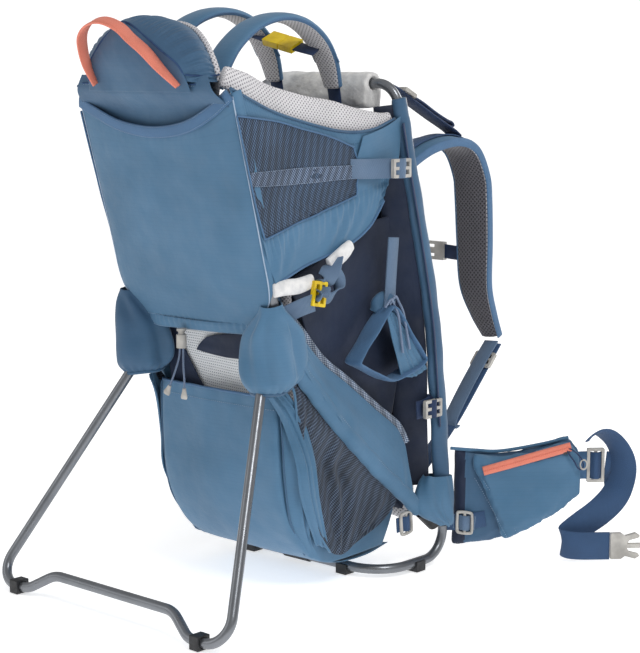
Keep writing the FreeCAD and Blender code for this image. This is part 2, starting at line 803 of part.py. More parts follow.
def shoulder_strap(side):
    line = [(70, 80, 508), (71, 112, 530), (73, 158, 552), (75, 212, 560), (76, 250, 547),
            (78, 270, 512), (80, 273, 480), (83, 273, 420), (86, 273, 358), (90, 287, 316),
            (94, 303, 284)]
    points = [at(side * x, y, z) for x, y, z in line]
    shape = straight_ribbon(points, size("strap_width"), size("strap_thick"))
    label = "shoulder_strap_" + SIDE_NAMES[side]
    keep(label, feature(label, shape))


def load_lifters():
    lines = []
    for side in (RIGHT, LEFT):
        line = [(66, 76, 642), (67, 108, 634), (70, 150, 612), (73, 188, 592), (74, 222, 575)]
        points = [at(side * x, y, z) for x, y, z in line]
        lines.append(straight_ribbon(points, size("narrow_webbing"), size("webbing_thick")))
    keep("load_lifters", feature("load_lifters", Part.makeCompound(lines)))


LOWER_ROUTE = [(95, 306, 272), (95, 262, 226), (96, 206, 172), (97, 142, 122)]


def lower_webbings():
    lines = []
    for side in (RIGHT, LEFT):
        points = [at(side * x, y, z) for x, y, z in LOWER_ROUTE]
        lines.append(straight_ribbon(points, size("narrow_webbing"), size("webbing_thick")))
    keep("lower_webbings", feature("lower_webbings", Part.makeCompound(lines)))


def lock_on_run(name, side, start, end, lift, webbing="sizes.narrow_webbing"):
    """A ladder lock on the outer face of a strap's run between two drawn points."""
    a, b = at(side * start[0], *start[1:]), at(side * end[0], *end[1:])
    way = (b - a).normalize()
    normal = EAST.cross(way)
    if normal.z < 0:
        normal = -normal
    seat = (a + b) * 0.5 + normal * lift
    turn = Rotation(way, normal.cross(way), normal, "ZXY")
    return lock_parts(name + "_" + SIDE_NAMES[side], Placement(seat, turn), webbing)


def side_lock(name, side, y, z, run):
    """A ladder lock on the outside of an upright or side panel."""
    place = Placement(at(side * 146, y, z) + EAST * side * 7.5, upright_lock(side, run))
    return lock_parts(name + "_" + SIDE_NAMES[side], place, "sizes.narrow_webbing")


def strap_locks():
    """The ladder locks that stay where they are: on the load lifters, the shoulder
    straps' lower ends, the frame's uprights and the cockpit's front corners."""
    locks = []
    lift = size("webbing_thick") / 2 + 0.5
    for side in (RIGHT, LEFT):
        locks.append(lock_on_run("lifter_lock", side, (67, 108, 634), (70, 150, 612), lift))
        locks.append(lock_on_run("lower_lock", side, LOWER_ROUTE[0], LOWER_ROUTE[1], lift))
        locks.append(side_lock("cockpit_lock", side, 24, 535, 0))
        locks.append(side_lock("upright_lock", side, 92, 217, 0))
    keep("strap_locks", joined("strap_locks", locks))


STERNUM_Z = 400.0
STRAP_FRONT = 273 * DEEP + size("strap_thick") / 2
SLIDER_GAP = 1.0


def sternum_strap():
    """A strap across the chest on two sliders, with a small side-release buckle."""
    y = STRAP_FRONT + SLIDER_GAP
    z = STERNUM_Z * TALL
    sliders = []
    straps = []
    for side in (RIGHT, LEFT):
        near, far = 64 * WIDE, 98 * WIDE
        corner = Vector(min(side * near, side * far), y, z - 11)
        sliders.append(block("slider_" + SIDE_NAMES[side], corner, (f"{far - near}", "6.0", "22.0")))
        points = [Vector(side * 23.0, y + 3, z), Vector(side * (near - 0.4), y + 3, z)]
        straps.append(straight_ribbon(points, size("narrow_webbing") * 0.8, size("webbing_thick"), UP))
    keep("sternum_sliders", joined("sternum_sliders", sliders))
    keep("sternum_webbing", feature("sternum_webbing", Part.makeCompound(straps)))
    shell = block("sternum_shell", Vector(-22, y - 1, z - 13), ("44.0", "8.0", "26.0"))
    slot = block("sternum_release", Vector(-9, y - 2, z - 9), ("14.0", "12.0", "5.0"))
    other = block("sternum_release_2", Vector(-9, y - 2, z + 4), ("14.0", "12.0", "5.0"))
    keep("sternum_buckle", cut("sternum_buckle", shell, fused("sternum_slots", [slot, other])))


# ---- hip belt ---------------------------------------------------------------------------

FIN_ROOT = Vector(130 * WIDE, 140 * DEEP, 0)
FIN_TURN = 45.6
FIN_OUTLINE = [(12, 158), (82, 153), (136, 162), (178, 173), (197, 148), (199, 84), (165, 57),
               (125, 35), (84, 18), (12, 11)]


def fin_place(side):
    turn = FIN_TURN if side == RIGHT else 180 - FIN_TURN
    return Placement(Vector(side * FIN_ROOT.x, FIN_ROOT.y, 0), Rotation(UP, turn))


def fin_point(side, along, out, z):
    """A point given along the fin, out from its outer face's side, and up."""
    return fin_place(side).multVec(Vector(along, -side * out, z))


def fin_way(side, along, out, z):
    return fin_point(side, along, out, z) - fin_point(side, 0, 0, 0)


def hip_fin(side):
    label = "hip_fin_" + SIDE_NAMES[side]
    outline = [(f"{s}", f"{z}") for s, z in FIN_OUTLINE]
    panel(label, "XZ_Plane", outline, "-sizes.fin_thick / 2", "sizes.fin_thick", 10, 4, fin_place(side))


def hip_pocket():
    """A zipped pocket on the outer face of the right fin."""
    outline = [("38", "150"), ("82", "150"), ("136", "158"), ("174", "167"), ("192", "146"),
               ("194", "88"), ("163", "61"), ("125", "39"), ("84", "23"), ("38", "128")]
    start = "sizes.fin_thick / 2 + 0.4"
    panel("hip_pocket", "XZ_Plane", outline, start, "sizes.hip_pocket_thick", 8, 4, fin_place(RIGHT))


ZIP_START = (56.0, 125.0)
ZIP_END = (174.0, 157.0)
ZIP_SLIDER_THICK = 4.0


def hip_zip_slider():
    """The pull's slider, at the zip's closed end."""
    run = Vector(ZIP_END[0] - ZIP_START[0], ZIP_END[1] - ZIP_START[1], 0)
    slope = math.degrees(math.atan2(run.y, run.x))
    start = "sizes.fin_thick / 2 + 0.4 + sizes.hip_pocket_thick + 0.5"
    outline = [("-5", "-4"), ("5", "-3"), ("5", "3"), ("-5", "4")]
    lift = Vector(ZIP_END[0] - 6, 0, ZIP_END[1] - 6)
    place = fin_place(RIGHT).multiply(Placement(lift, Rotation(NORTH, -slope)))
    panel("hip_zip_slider", "XZ_Plane", outline, start, f"{ZIP_SLIDER_THICK}", 1.5, 0.5, place)


LOCK_ALONG, LOCK_Z = 213.0, 126.0


def hip_lock(side):
    """The ladder lock at the fin's tip, standing upright."""
    label = "hip_lock_" + SIDE_NAMES[side]
    face = fin_way(side, 0, 1, 0)
    along = fin_way(side, 1, 0, 0)
    turn = Rotation(along, face.cross(along), face, "ZXY")
    seat = fin_point(side, LOCK_ALONG, -size("lock_thick") / 2, LOCK_Z)
    body = lock_parts(label, Placement(seat, turn), "sizes.hip_webbing")
    keep(label, body)


# Each webbing lies loose: along the fin, out from it, up, and the way its width runs.
RIGHT_WEBBING = [
    ((198, 14, 162), (0.1, 0.8, 0.6)),
    ((207, 15, 174), (0.25, 0.9, 0.4)),
    ((223, 14, 174), (0.3, 0.85, 0.5)),
    ((240, 13, 158), (0.5, 0.8, 0.5)),
    ((250, 12, 134), (0.75, 0.65, 0.35)),
    ((248, 12, 106), (0.8, 0.55, 0.1)),
    ((236, 13, 82), (0.75, 0.3, -0.6)),
    ((215, 14, 62), (0.55, 0.1, -0.8)),
    ((194, 14, 48), (0.4, 0, -0.9)),
    ((178, 15, 35), (0.3, 0.05, -0.95)),
    ((167, 18, 28), (0.1, 0, -1)),
    ((164, 25, 25), (0, 0, -1)),
    ((172, 32, 23.2), (0, 0, -1)),
    ((188, 35, 22.6), (0, 0, -1)),
    ((207, 35, 22.5), (0, 0, -1)),
    ((227, 35, 22.5), (0, 0, -1)),
]
# The strand that comes out of the lock and joins the loop behind it.
RIGHT_STRAND = [
    ((226.3, 0, 126), (0, 0, 1)),
    ((232, 0, 125.5), (0, 0, 1)),
    ((239, -2, 120), (0.25, 0.1, 0.95)),
    ((245, -3, 108), (0.6, 0.2, 0.7)),
    ((246, -3, 94), (0.8, 0.3, 0.4)),
]
LEFT_WEBBING = [
    ((226.3, 0, 126), (0, 0, 1)),
    ((234, 0, 126), (0, 0, 1)),
    ((244, 2, 118), (0.3, 0.3, 1)),
    ((251, 4, 99), (0.7, 0.4, 0.6)),
    ((247, 7, 74), (0.9, 0.4, 0.1)),
    ((229, 10, 53), (0.6, 0.3, -0.7)),
    ((205, 16, 36), (0.3, 0.1, -0.9)),
    ((182, 24, 25), (0.1, 0, -1)),
    ((162, 29, 20.3), (0, 0, -1)),
    ((140, 32, 20), (0, 0, -1)),
]


def hip_webbing(side, routes):
    label = "hip_webbing_" + SIDE_NAMES[side]
    strands = []
    for route in routes:
        stations = [(fin_point(side, *point), fin_way(side, *way)) for point, way in route]
        strand = ribbon_shape(stations, size("hip_webbing"), size("webbing_thick"))
        strands.append(strand)
        points = [point for point, _ in stations]
        length = sum((b - a).Length for a, b in zip(points, points[1:]))
        section = size("hip_webbing") * size("webbing_thick")
        print(label, "length", round(length), "volume share",
              round(strand.Volume / (length * section), 3))
    keep(label, feature(label, Part.makeCompound(strands)))


def buckle_place(side, route, ahead):
    """The buckle's frame: X on from the webbing's last run, Z across its width."""
    end, before = route[-1][0], route[-2][0]
    way = fin_way(side, end[0] - before[0], end[1] - before[1], 0).normalize()
    out = UP.cross(way)
    turn = Rotation(way, out, UP, "ZXY")
    return Placement(fin_point(side, *end) + way * ahead, turn)


PRONG_LENGTH = 26.0


def hip_buckle_male():
    """Side-release plug: a webbing bar, a yoke and three prongs, the outer two springy."""
    half = "sizes.hip_webbing / 2"
    outline = [
        ("0", f"-{half} + 1"), ("14", f"-{half} + 1"), ("20", f"-{half} + 5"), ("34", f"-{half} + 1"),
        ("40", f"-{half} + 5"), ("38", f"-{half} + 8"), ("26", f"-{half} + 11"), ("22", "-3"),
        ("42", "-3"), ("42", "3"), ("22", "3"), ("26", f"{half} - 11"), ("38", f"{half} - 8"),
        ("40", f"{half} - 5"), ("34", f"{half} - 1"), ("20", f"{half} - 5"), ("14", f"{half} - 1"),
        ("0", f"{half} - 1"),
    ]
    thick = "7.0"
    place = buckle_place(RIGHT, RIGHT_WEBBING, 1.0)
    panel("hip_buckle_male", "XZ_Plane", outline, "-3.5", thick, 0, 0, place)


def hip_buckle_female():
    """The socket of the side-release buckle, open at its mouth and at both sides."""
    half_wide = size("hip_webbing") / 2
    place = buckle_place(LEFT, LEFT_WEBBING, 1.0)
    half_thick = size("buckle_thick") / 2
    long = 46.0
    shell = block("hip_shell", Vector(), (f"{long}", "sizes.buckle_thick", "sizes.hip_webbing - 2"))
    shell.Placement = place.multiply(Placement(Vector(0, -half_thick, 1 - half_wide), Rotation()))
    fit = size("buckle_fit")
    hollow_thick = 7.0 + 2 * fit
    hollow = block("hip_hollow", Vector(), ("32.0", f"{hollow_thick}", "sizes.hip_webbing - 5"))
    hollow.Placement = place.multiply(
        Placement(Vector(15, -hollow_thick / 2, 2.5 - half_wide), Rotation()))
    windows = block("hip_windows", Vector(), ("12.0", f"{hollow_thick}", "sizes.hip_webbing + 4"))
    windows.Placement = place.multiply(
        Placement(Vector(18, -hollow_thick / 2, -2 - half_wide), Rotation()))
    keep("hip_buckle_female", cut("hip_buckle_female", shell, fused("hip_socket", [hollow, windows])))


# ---- stirrups, storage and cord lock ----------------------------------------------------

STIRRUP_X = 124.0
STIRRUP_WIDTH = 30.0


def stirrup(side):
    """A foot loop on webbing: a triangular band, its strap running up from the apex."""
    name = "stirrup_" + SIDE_NAMES[side]
    outer = [(18, 366), (10, 360), (-52, 298), (-46, 286), (19, 258), (88, 274), (92, 286), (26, 360)]
    inner = [(18, 350), (-38, 296), (19, 269), (76, 284)]
    body = doc.addObject("PartDesign::Body", name + "_loop")
    start = across(STIRRUP_X) if side == RIGHT else f"(-{across(STIRRUP_X)} - {STIRRUP_WIDTH})"
    sketch = sketch_on(body, "YZ_Plane", start)
    draw_outline(sketch, side_view(outer))
    draw_outline(sketch, side_view(inner))
    pad = body.newObject("PartDesign::Pad", name + "_pad")
    pad.Profile = sketch
    pad.setExpression("Length", f"{STIRRUP_WIDTH}")
    middle = side * (STIRRUP_X * WIDE + STIRRUP_WIDTH / 2)
    a, b = at(0, 18, 358), at(0, 30, 448)
    points = [Vector(middle, a.y, a.z), Vector(middle, b.y, b.z)]
    strap = feature(name + "_strap", straight_ribbon(points, 20.0, 2.5, NORTH))
    keep(name, fused(name, [body, strap]))


def storage_bag():
    """The bag under the seat, between the frame's sides, resting on the ground bar."""
    outline = side_view([(-150, 256), (-148, 130), (-124, 74), (-92, 44), (-56, 28), (-8, 24),
                         (60, 34), (84, 60), (84, 190), (40, 190), (-60, 256)])
    panel("storage_bag", "YZ_Plane", outline, across(-103), across(206), 7, 5)


CORD_LOCK = at(-23, -190, 312)


def cord_lock():
    """A barrel with a sprung button on top; the bag's drawcord hangs from it."""
    body_height = 17.0
    floor_height = 6.0
    barrel = cylinder("barrel", CORD_LOCK, UP, "sizes.cord_lock_dia / 2", f"{body_height}")
    well_start = CORD_LOCK + UP * floor_height
    well = cylinder("well", well_start, UP, "sizes.plunger_dia / 2 + 0.3", f"{body_height}")
    keep("cord_lock_body", cut("cord_lock_body", barrel, well))
    rest = well_start + UP * (size("plunger_travel") + 0.6)
    stem = cylinder("plunger_stem", rest, UP, "sizes.plunger_dia / 2", "13.0")
    cap = cylinder("plunger_cap", rest + UP * 12, UP, "sizes.cord_lock_dia / 2 - 0.5", "3.0")
    keep("cord_lock_plunger", fused("cord_lock_plunger", [stem, cap]))


CORD_ROUTES = [
    [(-26, -190, 311.5), (-26.4, -190.4, 300), (-31, -192, 286), (-38, -192, 271), (-47, -191, 257)],
    [(-20, -190, 311.5), (-19.6, -190.5, 300), (-17, -193, 286), (-16, -192, 271), (-18, -191, 256)],
]


def cord_radii(points):
    """At each corner, 0.45 of the shorter run over the tangent of half the turn."""
    radii = []
    for before, here, after in zip(points, points[1:], points[2:]):
        turn = (here - before).getAngle(after - here)
        shorter = min((here - before).Length, (after - here).Length)
        radii.append(0.45 * shorter / math.tan(turn / 2))
    return radii


def drawcords():
    """The cord's two ends, hanging from the cord lock."""
    strands = []
    for number, route in enumerate(CORD_ROUTES, 1):
        points = [CORD_LOCK + Vector(x + 23, y + 190, z - 312) for x, y, z in route]
        radii = cord_radii(points)
        wire = bent_wire(points, radii)
        path = feature(f"cord_path_{number}", wire)
        heading = points[1] - points[0]
        strand = swept_rod(f"cord_{number}", path, points[0], heading, "sizes.cord_dia / 2")
        strands.append(strand)
        doc.recompute()
        section = math.pi * size("cord_dia") ** 2 / 4
        print("cord", number, "radii", [round(r) for r in radii], "length", round(wire.Length, 1),
              "volume share", round(strand.Shape.Volume / (section * wire.Length), 3))
    keep("drawcords", joined("drawcords", strands))


# ---- build, check and write --------------------------------------------------------------


def build():
    main_frame_tube()
    frame_coupling_sleeve()
    rear_frame_tube()
    lower_corner_joints()
    ground_clips()
    kickstand_tube()
    kickstand_eyelets()
    kickstand_feet()
    rear_pocket()
    child_back_panel()
    headrest_cushion()
    grab_handle()
    chin_pad()
    harness_webbing()
    harness_buckle()
    leg_loops()
    leg_adjusters()
    seat_cushion()
    wearer_back_panel()
    back_mesh_pads()
    lumbar_pad()
    load_lifters()
    lower_webbings()
    strap_locks()
    sternum_strap()
    hip_pocket()
    hip_zip_slider()
    hip_webbing(RIGHT, [RIGHT_WEBBING, RIGHT_STRAND])
    hip_webbing(LEFT, [LEFT_WEBBING])
    hip_buckle_male()
    hip_buckle_female()
    storage_bag()
    cord_lock()
    drawcords()
    for side in (RIGHT, LEFT):
        hinge_knuckle(side)
        hinge_cover(side)
        cockpit_side(side)
        cockpit_collar(side)
        harness_pad(side)
        seat_side(side)
        shoulder_strap(side)
        hip_fin(side)
        hip_lock(side)
        stirrup(side)


def check():
    for piece in doc.Objects:
        if "Invalid" in piece.State or "Error" in piece.State:
            raise RuntimeError(f"{piece.Label} failed: {piece.State}")
    for label, piece in subparts.items():
        shape = piece.Shape
        if shape.isNull() or not shape.isValid() or not shape.Solids or shape.Volume <= 0:
            raise RuntimeError(f"{label} has no valid solid")


build()
doc.recompute()
check()
os.makedirs("parts", exist_ok=True)
for label, piece in sorted(subparts.items()):
    piece.Shape.exportStep(f"parts/{label}.step")
print(len(subparts), "sub-parts")
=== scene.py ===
import math

import bmesh
import bpy
import numpy as np
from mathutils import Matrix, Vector, kdtree, noise


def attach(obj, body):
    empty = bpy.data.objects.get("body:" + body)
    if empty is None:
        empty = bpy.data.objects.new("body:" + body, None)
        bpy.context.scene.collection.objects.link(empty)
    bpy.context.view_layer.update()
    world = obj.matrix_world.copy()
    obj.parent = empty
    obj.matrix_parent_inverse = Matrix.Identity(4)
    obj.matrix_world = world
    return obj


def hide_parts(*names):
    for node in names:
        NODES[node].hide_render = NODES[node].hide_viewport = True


# The looks of a framed child carrier, built round its CAD frame.
# +X is the wearer's right, +Y towards the wearer, +Z up. Drawn points are in
# millimetres and become metres where a mesh is made.
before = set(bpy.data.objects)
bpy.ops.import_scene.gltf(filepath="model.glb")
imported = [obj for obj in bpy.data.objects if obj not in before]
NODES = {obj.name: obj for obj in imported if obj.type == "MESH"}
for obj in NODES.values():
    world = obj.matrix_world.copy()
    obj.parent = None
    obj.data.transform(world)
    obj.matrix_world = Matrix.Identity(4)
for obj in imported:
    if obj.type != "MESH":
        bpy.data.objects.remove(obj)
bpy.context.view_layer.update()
MM = 0.001
RIGHT, LEFT = 1, -1
SIDES = {RIGHT: "right", LEFT: "left"}
ROOT = "carrier_frame"


# ---- camera, light and floor ------------------------------------------------------------

CAMERA_AT = (1.59467, -1.70926, 0.67002)
CAMERA_TURN = 42.3
CAMERA_DIP = 8.51
LENS = 98.27
SURROUND_SEEN = 1.15
SURROUND_LIGHT = 0.45
FLOOR_GLOW = 0.6
FLOOR_REACH = 6000
FLOOR_Z = -1.0
LAMPS_AIM = (0, 0, 0.35)
# name: (place in metres, disk size in metres, watts)
LAMPS = {
    "key": ((1.9, -0.6, 2.4), 1.0, 26),
    "fill": ((-1.6, -2.2, 1.3), 1.6, 7),
    "rim": ((0.4, 2.4, 1.6), 1.2, 16),
}


def add_camera():
    camera = bpy.data.objects.new("camera", bpy.data.cameras.new("camera"))
    bpy.context.scene.collection.objects.link(camera)
    camera.data.lens = LENS
    camera.data.sensor_width = 36
    camera.location = CAMERA_AT
    camera.rotation_euler = (math.radians(90 - CAMERA_DIP), 0, math.radians(CAMERA_TURN))
    bpy.context.scene.camera = camera


def area_light(name, place, size, power):
    light = bpy.data.lights.new(name, "AREA")
    light.shape = "DISK"
    light.size = size
    light.energy = power
    lamp = bpy.data.objects.new(name, light)
    bpy.context.scene.collection.objects.link(lamp)
    lamp.location = place
    lamp.rotation_euler = (Vector(LAMPS_AIM) - Vector(place)).to_track_quat("-Z", "Y").to_euler()


def add_studio():
    """A white surround to the camera, and a softer one for the light that it gives."""
    world = bpy.data.worlds.new("studio")
    world.use_nodes = True
    tree = world.node_tree
    glow = tree.nodes["Background"]
    glow.inputs["Color"].default_value = (1, 1, 1, 1)
    glow.inputs["Strength"].default_value = SURROUND_LIGHT
    seen = tree.nodes.new("ShaderNodeBackground")
    seen.inputs["Strength"].default_value = SURROUND_SEEN
    seen.inputs["Color"].default_value = (1, 1, 1, 1)
    path = tree.nodes.new("ShaderNodeLightPath")
    either = tree.nodes.new("ShaderNodeMixShader")
    tree.links.new(path.outputs["Is Camera Ray"], either.inputs[0])
    tree.links.new(glow.outputs[0], either.inputs[1])
    tree.links.new(seen.outputs[0], either.inputs[2])
    tree.links.new(either.outputs[0], tree.nodes["World Output"].inputs["Surface"])
    bpy.context.scene.world = world
    bpy.context.scene.view_settings.view_transform = "Standard"
    for name, lamp in LAMPS.items():
        area_light(name, *lamp)
    ends = (-FLOOR_REACH, FLOOR_REACH)
    rows = [[(x, y, FLOOR_Z) for x in ends] for y in ends]
    floor = mesh_object("floor", *grid_faces(np.array(rows) * MM), materials=[floor_paint()])


# ---- materials --------------------------------------------------------------------------


def linear(code):
    """An sRGB hex colour as the linear one that a shader takes."""
    parts = [int(code[i : i + 2], 16) / 255 for i in (1, 3, 5)]
    curved = [c / 12.92 if c < 0.04045 else ((c + 0.055) / 1.055) ** 2.4 for c in parts]
    return (*curved, 1.0)


class Paint:
    """A node material as it is put together round one Principled shader."""

    def __init__(self, name, rough, metal=0.0, sheen=0.0, coat=0.0):
        self.material = bpy.data.materials.new(name)
        self.material.use_nodes = True
        self.tree = self.material.node_tree
        self.shader = self.tree.nodes["Principled BSDF"]
        self.shader.inputs["Roughness"].default_value = rough
        self.shader.inputs["Metallic"].default_value = metal
        self.shader.inputs["Sheen Weight"].default_value = sheen
        self.shader.inputs["Coat Weight"].default_value = coat
        self.spots = self.tree.nodes.new("ShaderNodeTexCoord")

    def add(self, kind, settings=None, **values):
        node = self.tree.nodes.new("ShaderNode" + kind)
        for key, value in (settings or {}).items():
            setattr(node, key, value)
        for key, value in values.items():
            socket = node.inputs[key.replace("_", " ")]
            if isinstance(value, bpy.types.NodeSocket):
                self.tree.links.new(value, socket)
            else:
                socket.default_value = value
        return node

    def spot(self, kind, scale=(1, 1, 1), turn=0.0):
        """Coordinates in metres, scaled, and turned about Z."""
        mapped = self.add("Mapping", Vector=self.spots.outputs[kind])
        mapped.inputs["Scale"].default_value = scale
        mapped.inputs["Rotation"].default_value = (0, 0, math.radians(turn))
        return mapped.outputs["Vector"]

    def noise(self, scale, detail=3.0, kind="Object"):
        node = self.add("TexNoise", Vector=self.spot(kind), Scale=scale, Detail=detail)
        return node.outputs["Fac"]

    def waves(self, pitch, turn, kind="UV"):
        """Parallel threads at that pitch in metres."""
        place = self.spot(kind, turn=turn)
        node = self.add("TexWave", Vector=place, Scale=math.pi / (10 * pitch), Distortion=0.0)
        return node.outputs["Fac"]

    def dots(self, pitch, turn, kind="UV"):
        """How far a point is from the nearest of a square grid's dots, in pitches."""
        place = self.spot(kind, scale=(1 / pitch, 1 / pitch, 0), turn=turn)
        settings = {"voronoi_dimensions": "2D"}
        node = self.add("TexVoronoi", settings, Vector=place, Scale=1.0, Randomness=0.0)
        return node.outputs["Distance"]

    def ramp(self, factor, stops):
        node = self.add("ValToRGB", Fac=factor)
        ramp = node.color_ramp
        while len(ramp.elements) < len(stops):
            ramp.elements.new(0.5)
        for element, (place, colour) in zip(ramp.elements, stops):
            element.position = place
            element.color = linear(colour) if isinstance(colour, str) else (*[colour] * 3, 1)
        return node.outputs["Color"]

    def blend(self, factor, a, b, mode="MIX"):
        node = self.add("Mix", {"data_type": "RGBA", "blend_type": mode})
        for socket, value in ((node.inputs[0], factor), (node.inputs[6], a), (node.inputs[7], b)):
            if isinstance(value, bpy.types.NodeSocket):
                self.tree.links.new(value, socket)
            else:
                socket.default_value = value
        return node.outputs[2]

    def colour(self, socket):
        self.tree.links.new(socket, self.shader.inputs["Base Color"])
        return self

    def roughness(self, socket):
        self.tree.links.new(socket, self.shader.inputs["Roughness"])
        return self

    def bumps(self, *layers):
        """Layers of (height, strength, depth in metres), one over another."""
        normal = None
        for height, strength, depth in layers:
            node = self.add("Bump", Height=height, Strength=strength, Distance=depth)
            if normal is not None:
                self.tree.links.new(normal, node.inputs["Normal"])
            normal = node.outputs["Normal"]
        self.tree.links.new(normal, self.shader.inputs["Normal"])
        return self


def ripstop(name, light, dark, rough=0.62):
    """Plain-woven nylon with a heavier thread every few millimetres."""
    paint = Paint(name, rough, sheen=0.15)
    cloudy = paint.ramp(paint.noise(7.0, 4.0), [(0.32, dark), (0.68, light)])
    heavy = paint.ramp(paint.waves(0.0052, 90), [(0.93, 1.0), (0.985, 0.95)])
    thread_v = paint.waves(0.0009, 0)
    thread_u = paint.waves(0.0009, 90)
    weave = paint.blend(0.5, thread_u, thread_v)
    paint.colour(paint.blend(1.0, cloudy, heavy, "MULTIPLY"))
    paint.roughness(paint.ramp(paint.noise(40.0), [(0.3, rough - 0.08), (0.7, rough + 0.12)]))
    crumple = paint.noise(17.0, 5.0)
    paint.bumps((weave, 0.3, 0.0002), (crumple, 0.55, 0.006))
    return paint.material


def webbing_paint(name, light, dark):
    """Ribbed webbing: slanting threads, a little patchy."""
    paint = Paint(name, 0.7, sheen=0.1)
    ribs = paint.waves(0.0014, 28)
    cross = paint.waves(0.0016, -62)
    tint = paint.ramp(ribs, [(0.2, dark), (0.75, light)])
    patchy = paint.ramp(paint.noise(30.0), [(0.3, 0.86), (0.7, 1.0)])
    paint.colour(paint.blend(1.0, tint, patchy, "MULTIPLY"))
    paint.bumps((ribs, 0.6, 0.0004), (cross, 0.4, 0.0003))
    return paint.material


def holed_mesh(name, thread, hole, pitch, size=0.34, rough=0.85):
    """Spacer mesh: rows of small holes, staggered, in a springy knit."""
    paint = Paint(name, rough, sheen=0.2)
    distance = paint.dots(pitch, 45)
    tint = paint.ramp(distance, [(size * 0.62, hole), (size, thread)])
    patchy = paint.ramp(paint.noise(18.0), [(0.3, 0.88), (0.7, 1.0)])
    paint.colour(paint.blend(1.0, tint, patchy, "MULTIPLY"))
    paint.bumps((distance, 0.9, 0.0012), (paint.noise(900.0), 0.3, 0.0003))
    return paint.material


def window_mesh(name, thread, gap, pitch):
    """An open net over a dark inside, with its threads in slanting bands."""
    paint = Paint(name, 0.7, sheen=0.1)
    distance = paint.dots(pitch, 40)
    net = paint.ramp(distance, [(0.36, gap), (0.52, thread)])
    bands = paint.ramp(paint.waves(0.011, 24), [(0.2, 0.55), (0.8, 1.0)])
    cloudy = paint.ramp(paint.noise(16.0), [(0.35, 0.72), (0.65, 1.0)])
    paint.colour(paint.blend(1.0, paint.blend(1.0, net, bands, "MULTIPLY"), cloudy, "MULTIPLY"))
    paint.bumps((distance, 0.7, 0.0008), (paint.noise(24.0), 0.3, 0.003))
    return paint.material


def crosshatch(name, thread, gap, pitch, share):
    """Square net: dark gaps between pale threads, or the other way round."""
    paint = Paint(name, 0.75)
    upright = paint.ramp(paint.waves(pitch, 0), [(share, gap), (share + 0.1, thread)])
    level = paint.ramp(paint.waves(pitch, 90), [(share, gap), (share + 0.1, thread)])
    paint.colour(paint.blend(1.0, upright, level, "LIGHTEN"))
    paint.bumps((paint.waves(pitch, 0), 0.5, 0.0005), (paint.waves(pitch, 90), 0.5, 0.0005))
    return paint.material


def fleece(name, light, dark):
    paint = Paint(name, 0.95, sheen=0.4)
    paint.colour(paint.ramp(paint.noise(90.0, 6.0), [(0.3, dark), (0.65, light)]))
    paint.bumps((paint.noise(260.0, 6.0), 0.8, 0.0012), (paint.noise(45.0), 0.5, 0.003))
    return paint.material


def plastic(name, light, dark, rough=0.42):
    """Moulded nylon: a fine grain, its tone varying at random."""
    paint = Paint(name, rough)
    paint.colour(paint.ramp(paint.noise(60.0), [(0.35, dark), (0.65, light)]))
    paint.roughness(paint.ramp(paint.noise(150.0), [(0.3, rough - 0.1), (0.7, rough + 0.14)]))
    paint.bumps((paint.noise(1400.0, 2.0), 0.25, 0.0002))
    return paint.material


def tube_paint():
    """Anodised aluminium tube with drawn marks and scuffs."""
    paint = Paint("tube_metal", 0.33, metal=0.75)
    paint.colour(paint.ramp(paint.noise(24.0, 5.0), [(0.3, "#74777c"), (0.7, "#83868b")]))
    paint.roughness(paint.ramp(paint.noise(60.0, 4.0), [(0.35, 0.27), (0.7, 0.36)]))
    paint.bumps((paint.noise(300.0, 2.0), 0.03, 0.0001))
    return paint.material


def floor_paint():
    paint = Paint("floor_paint", 0.9)
    paint.colour(paint.ramp(paint.noise(3.0), [(0.3, "#fbfbfb"), (0.7, "#ffffff")]))
    paint.shader.inputs["Emission Color"].default_value = (1, 1, 1, 1)
    paint.shader.inputs["Emission Strength"].default_value = FLOOR_GLOW
    return paint.material


FABRIC = ripstop("blue_ripstop", "#4f7a9c", "#3d6888")
# painted shade: a darker copy of the blue ripstop, standing in for the shade on parts that lie out of the
# light
SHADED_FABRIC = ripstop("painted_shade_ripstop", "#3d6484", "#2c5070")
NAVY_FABRIC = ripstop("navy_lining", "#0e2342", "#07152c", 0.7)
BINDING = webbing_paint("blue_binding", "#557ea5", "#3b628b")
NAVY_WEBBING = webbing_paint("navy_webbing_paint", "#3b5f88", "#203e66")
DARK_WEBBING = webbing_paint("dark_webbing_paint", "#22406c", "#101f3f")
GREY_WEBBING = webbing_paint("grey_webbing_paint", "#7089a6", "#4d6785")
CORAL_WEBBING = webbing_paint("coral_webbing_paint", "#fb9c84", "#e5735c")
LIGHT_MESH = holed_mesh("light_spacer_mesh", "#dfdde0", "#6d6b73", 0.0041, 0.3)
DARK_MESH = holed_mesh("dark_spacer_mesh", "#67666d", "#27262c", 0.0044, 0.4)
WINDOW_MESH = window_mesh("window_net", "#54718f", "#0d2140", 0.0029)
BAND_MESH = window_mesh("window_band_net", "#8c9fb6", "#1d365c", 0.0029)
TRIANGLE_MESH = window_mesh("pocket_net", "#5d7087", "#091731", 0.0031)
PALE_NET = crosshatch("pale_net", "#e9ecef", "#3d4a60", 0.0036, 0.25)
HERRINGBONE = window_mesh("herringbone_binding", "#c3cfdd", "#27446b", 0.0026)
FLEECE = fleece("white_fleece_paint", "#e9e8e6", "#c9c8c8")
PADDED_WHITE = fleece("white_padding", "#ecebea", "#cfd0d2")
GREY_PLASTIC = plastic("grey_plastic_paint", "#c3c0ba", "#a19e99")
BLACK_PLASTIC = plastic("black_plastic_paint", "#26272b", "#141518", 0.5)
YELLOW_PLASTIC = plastic("yellow_plastic_paint", "#f0cf14", "#d9b60c")
DARK_METAL = plastic("dark_metal_paint", "#4b4d52", "#2e2f33", 0.35)
CORD_PAINT = webbing_paint("cord_paint", "#8b9cb5", "#54698b")
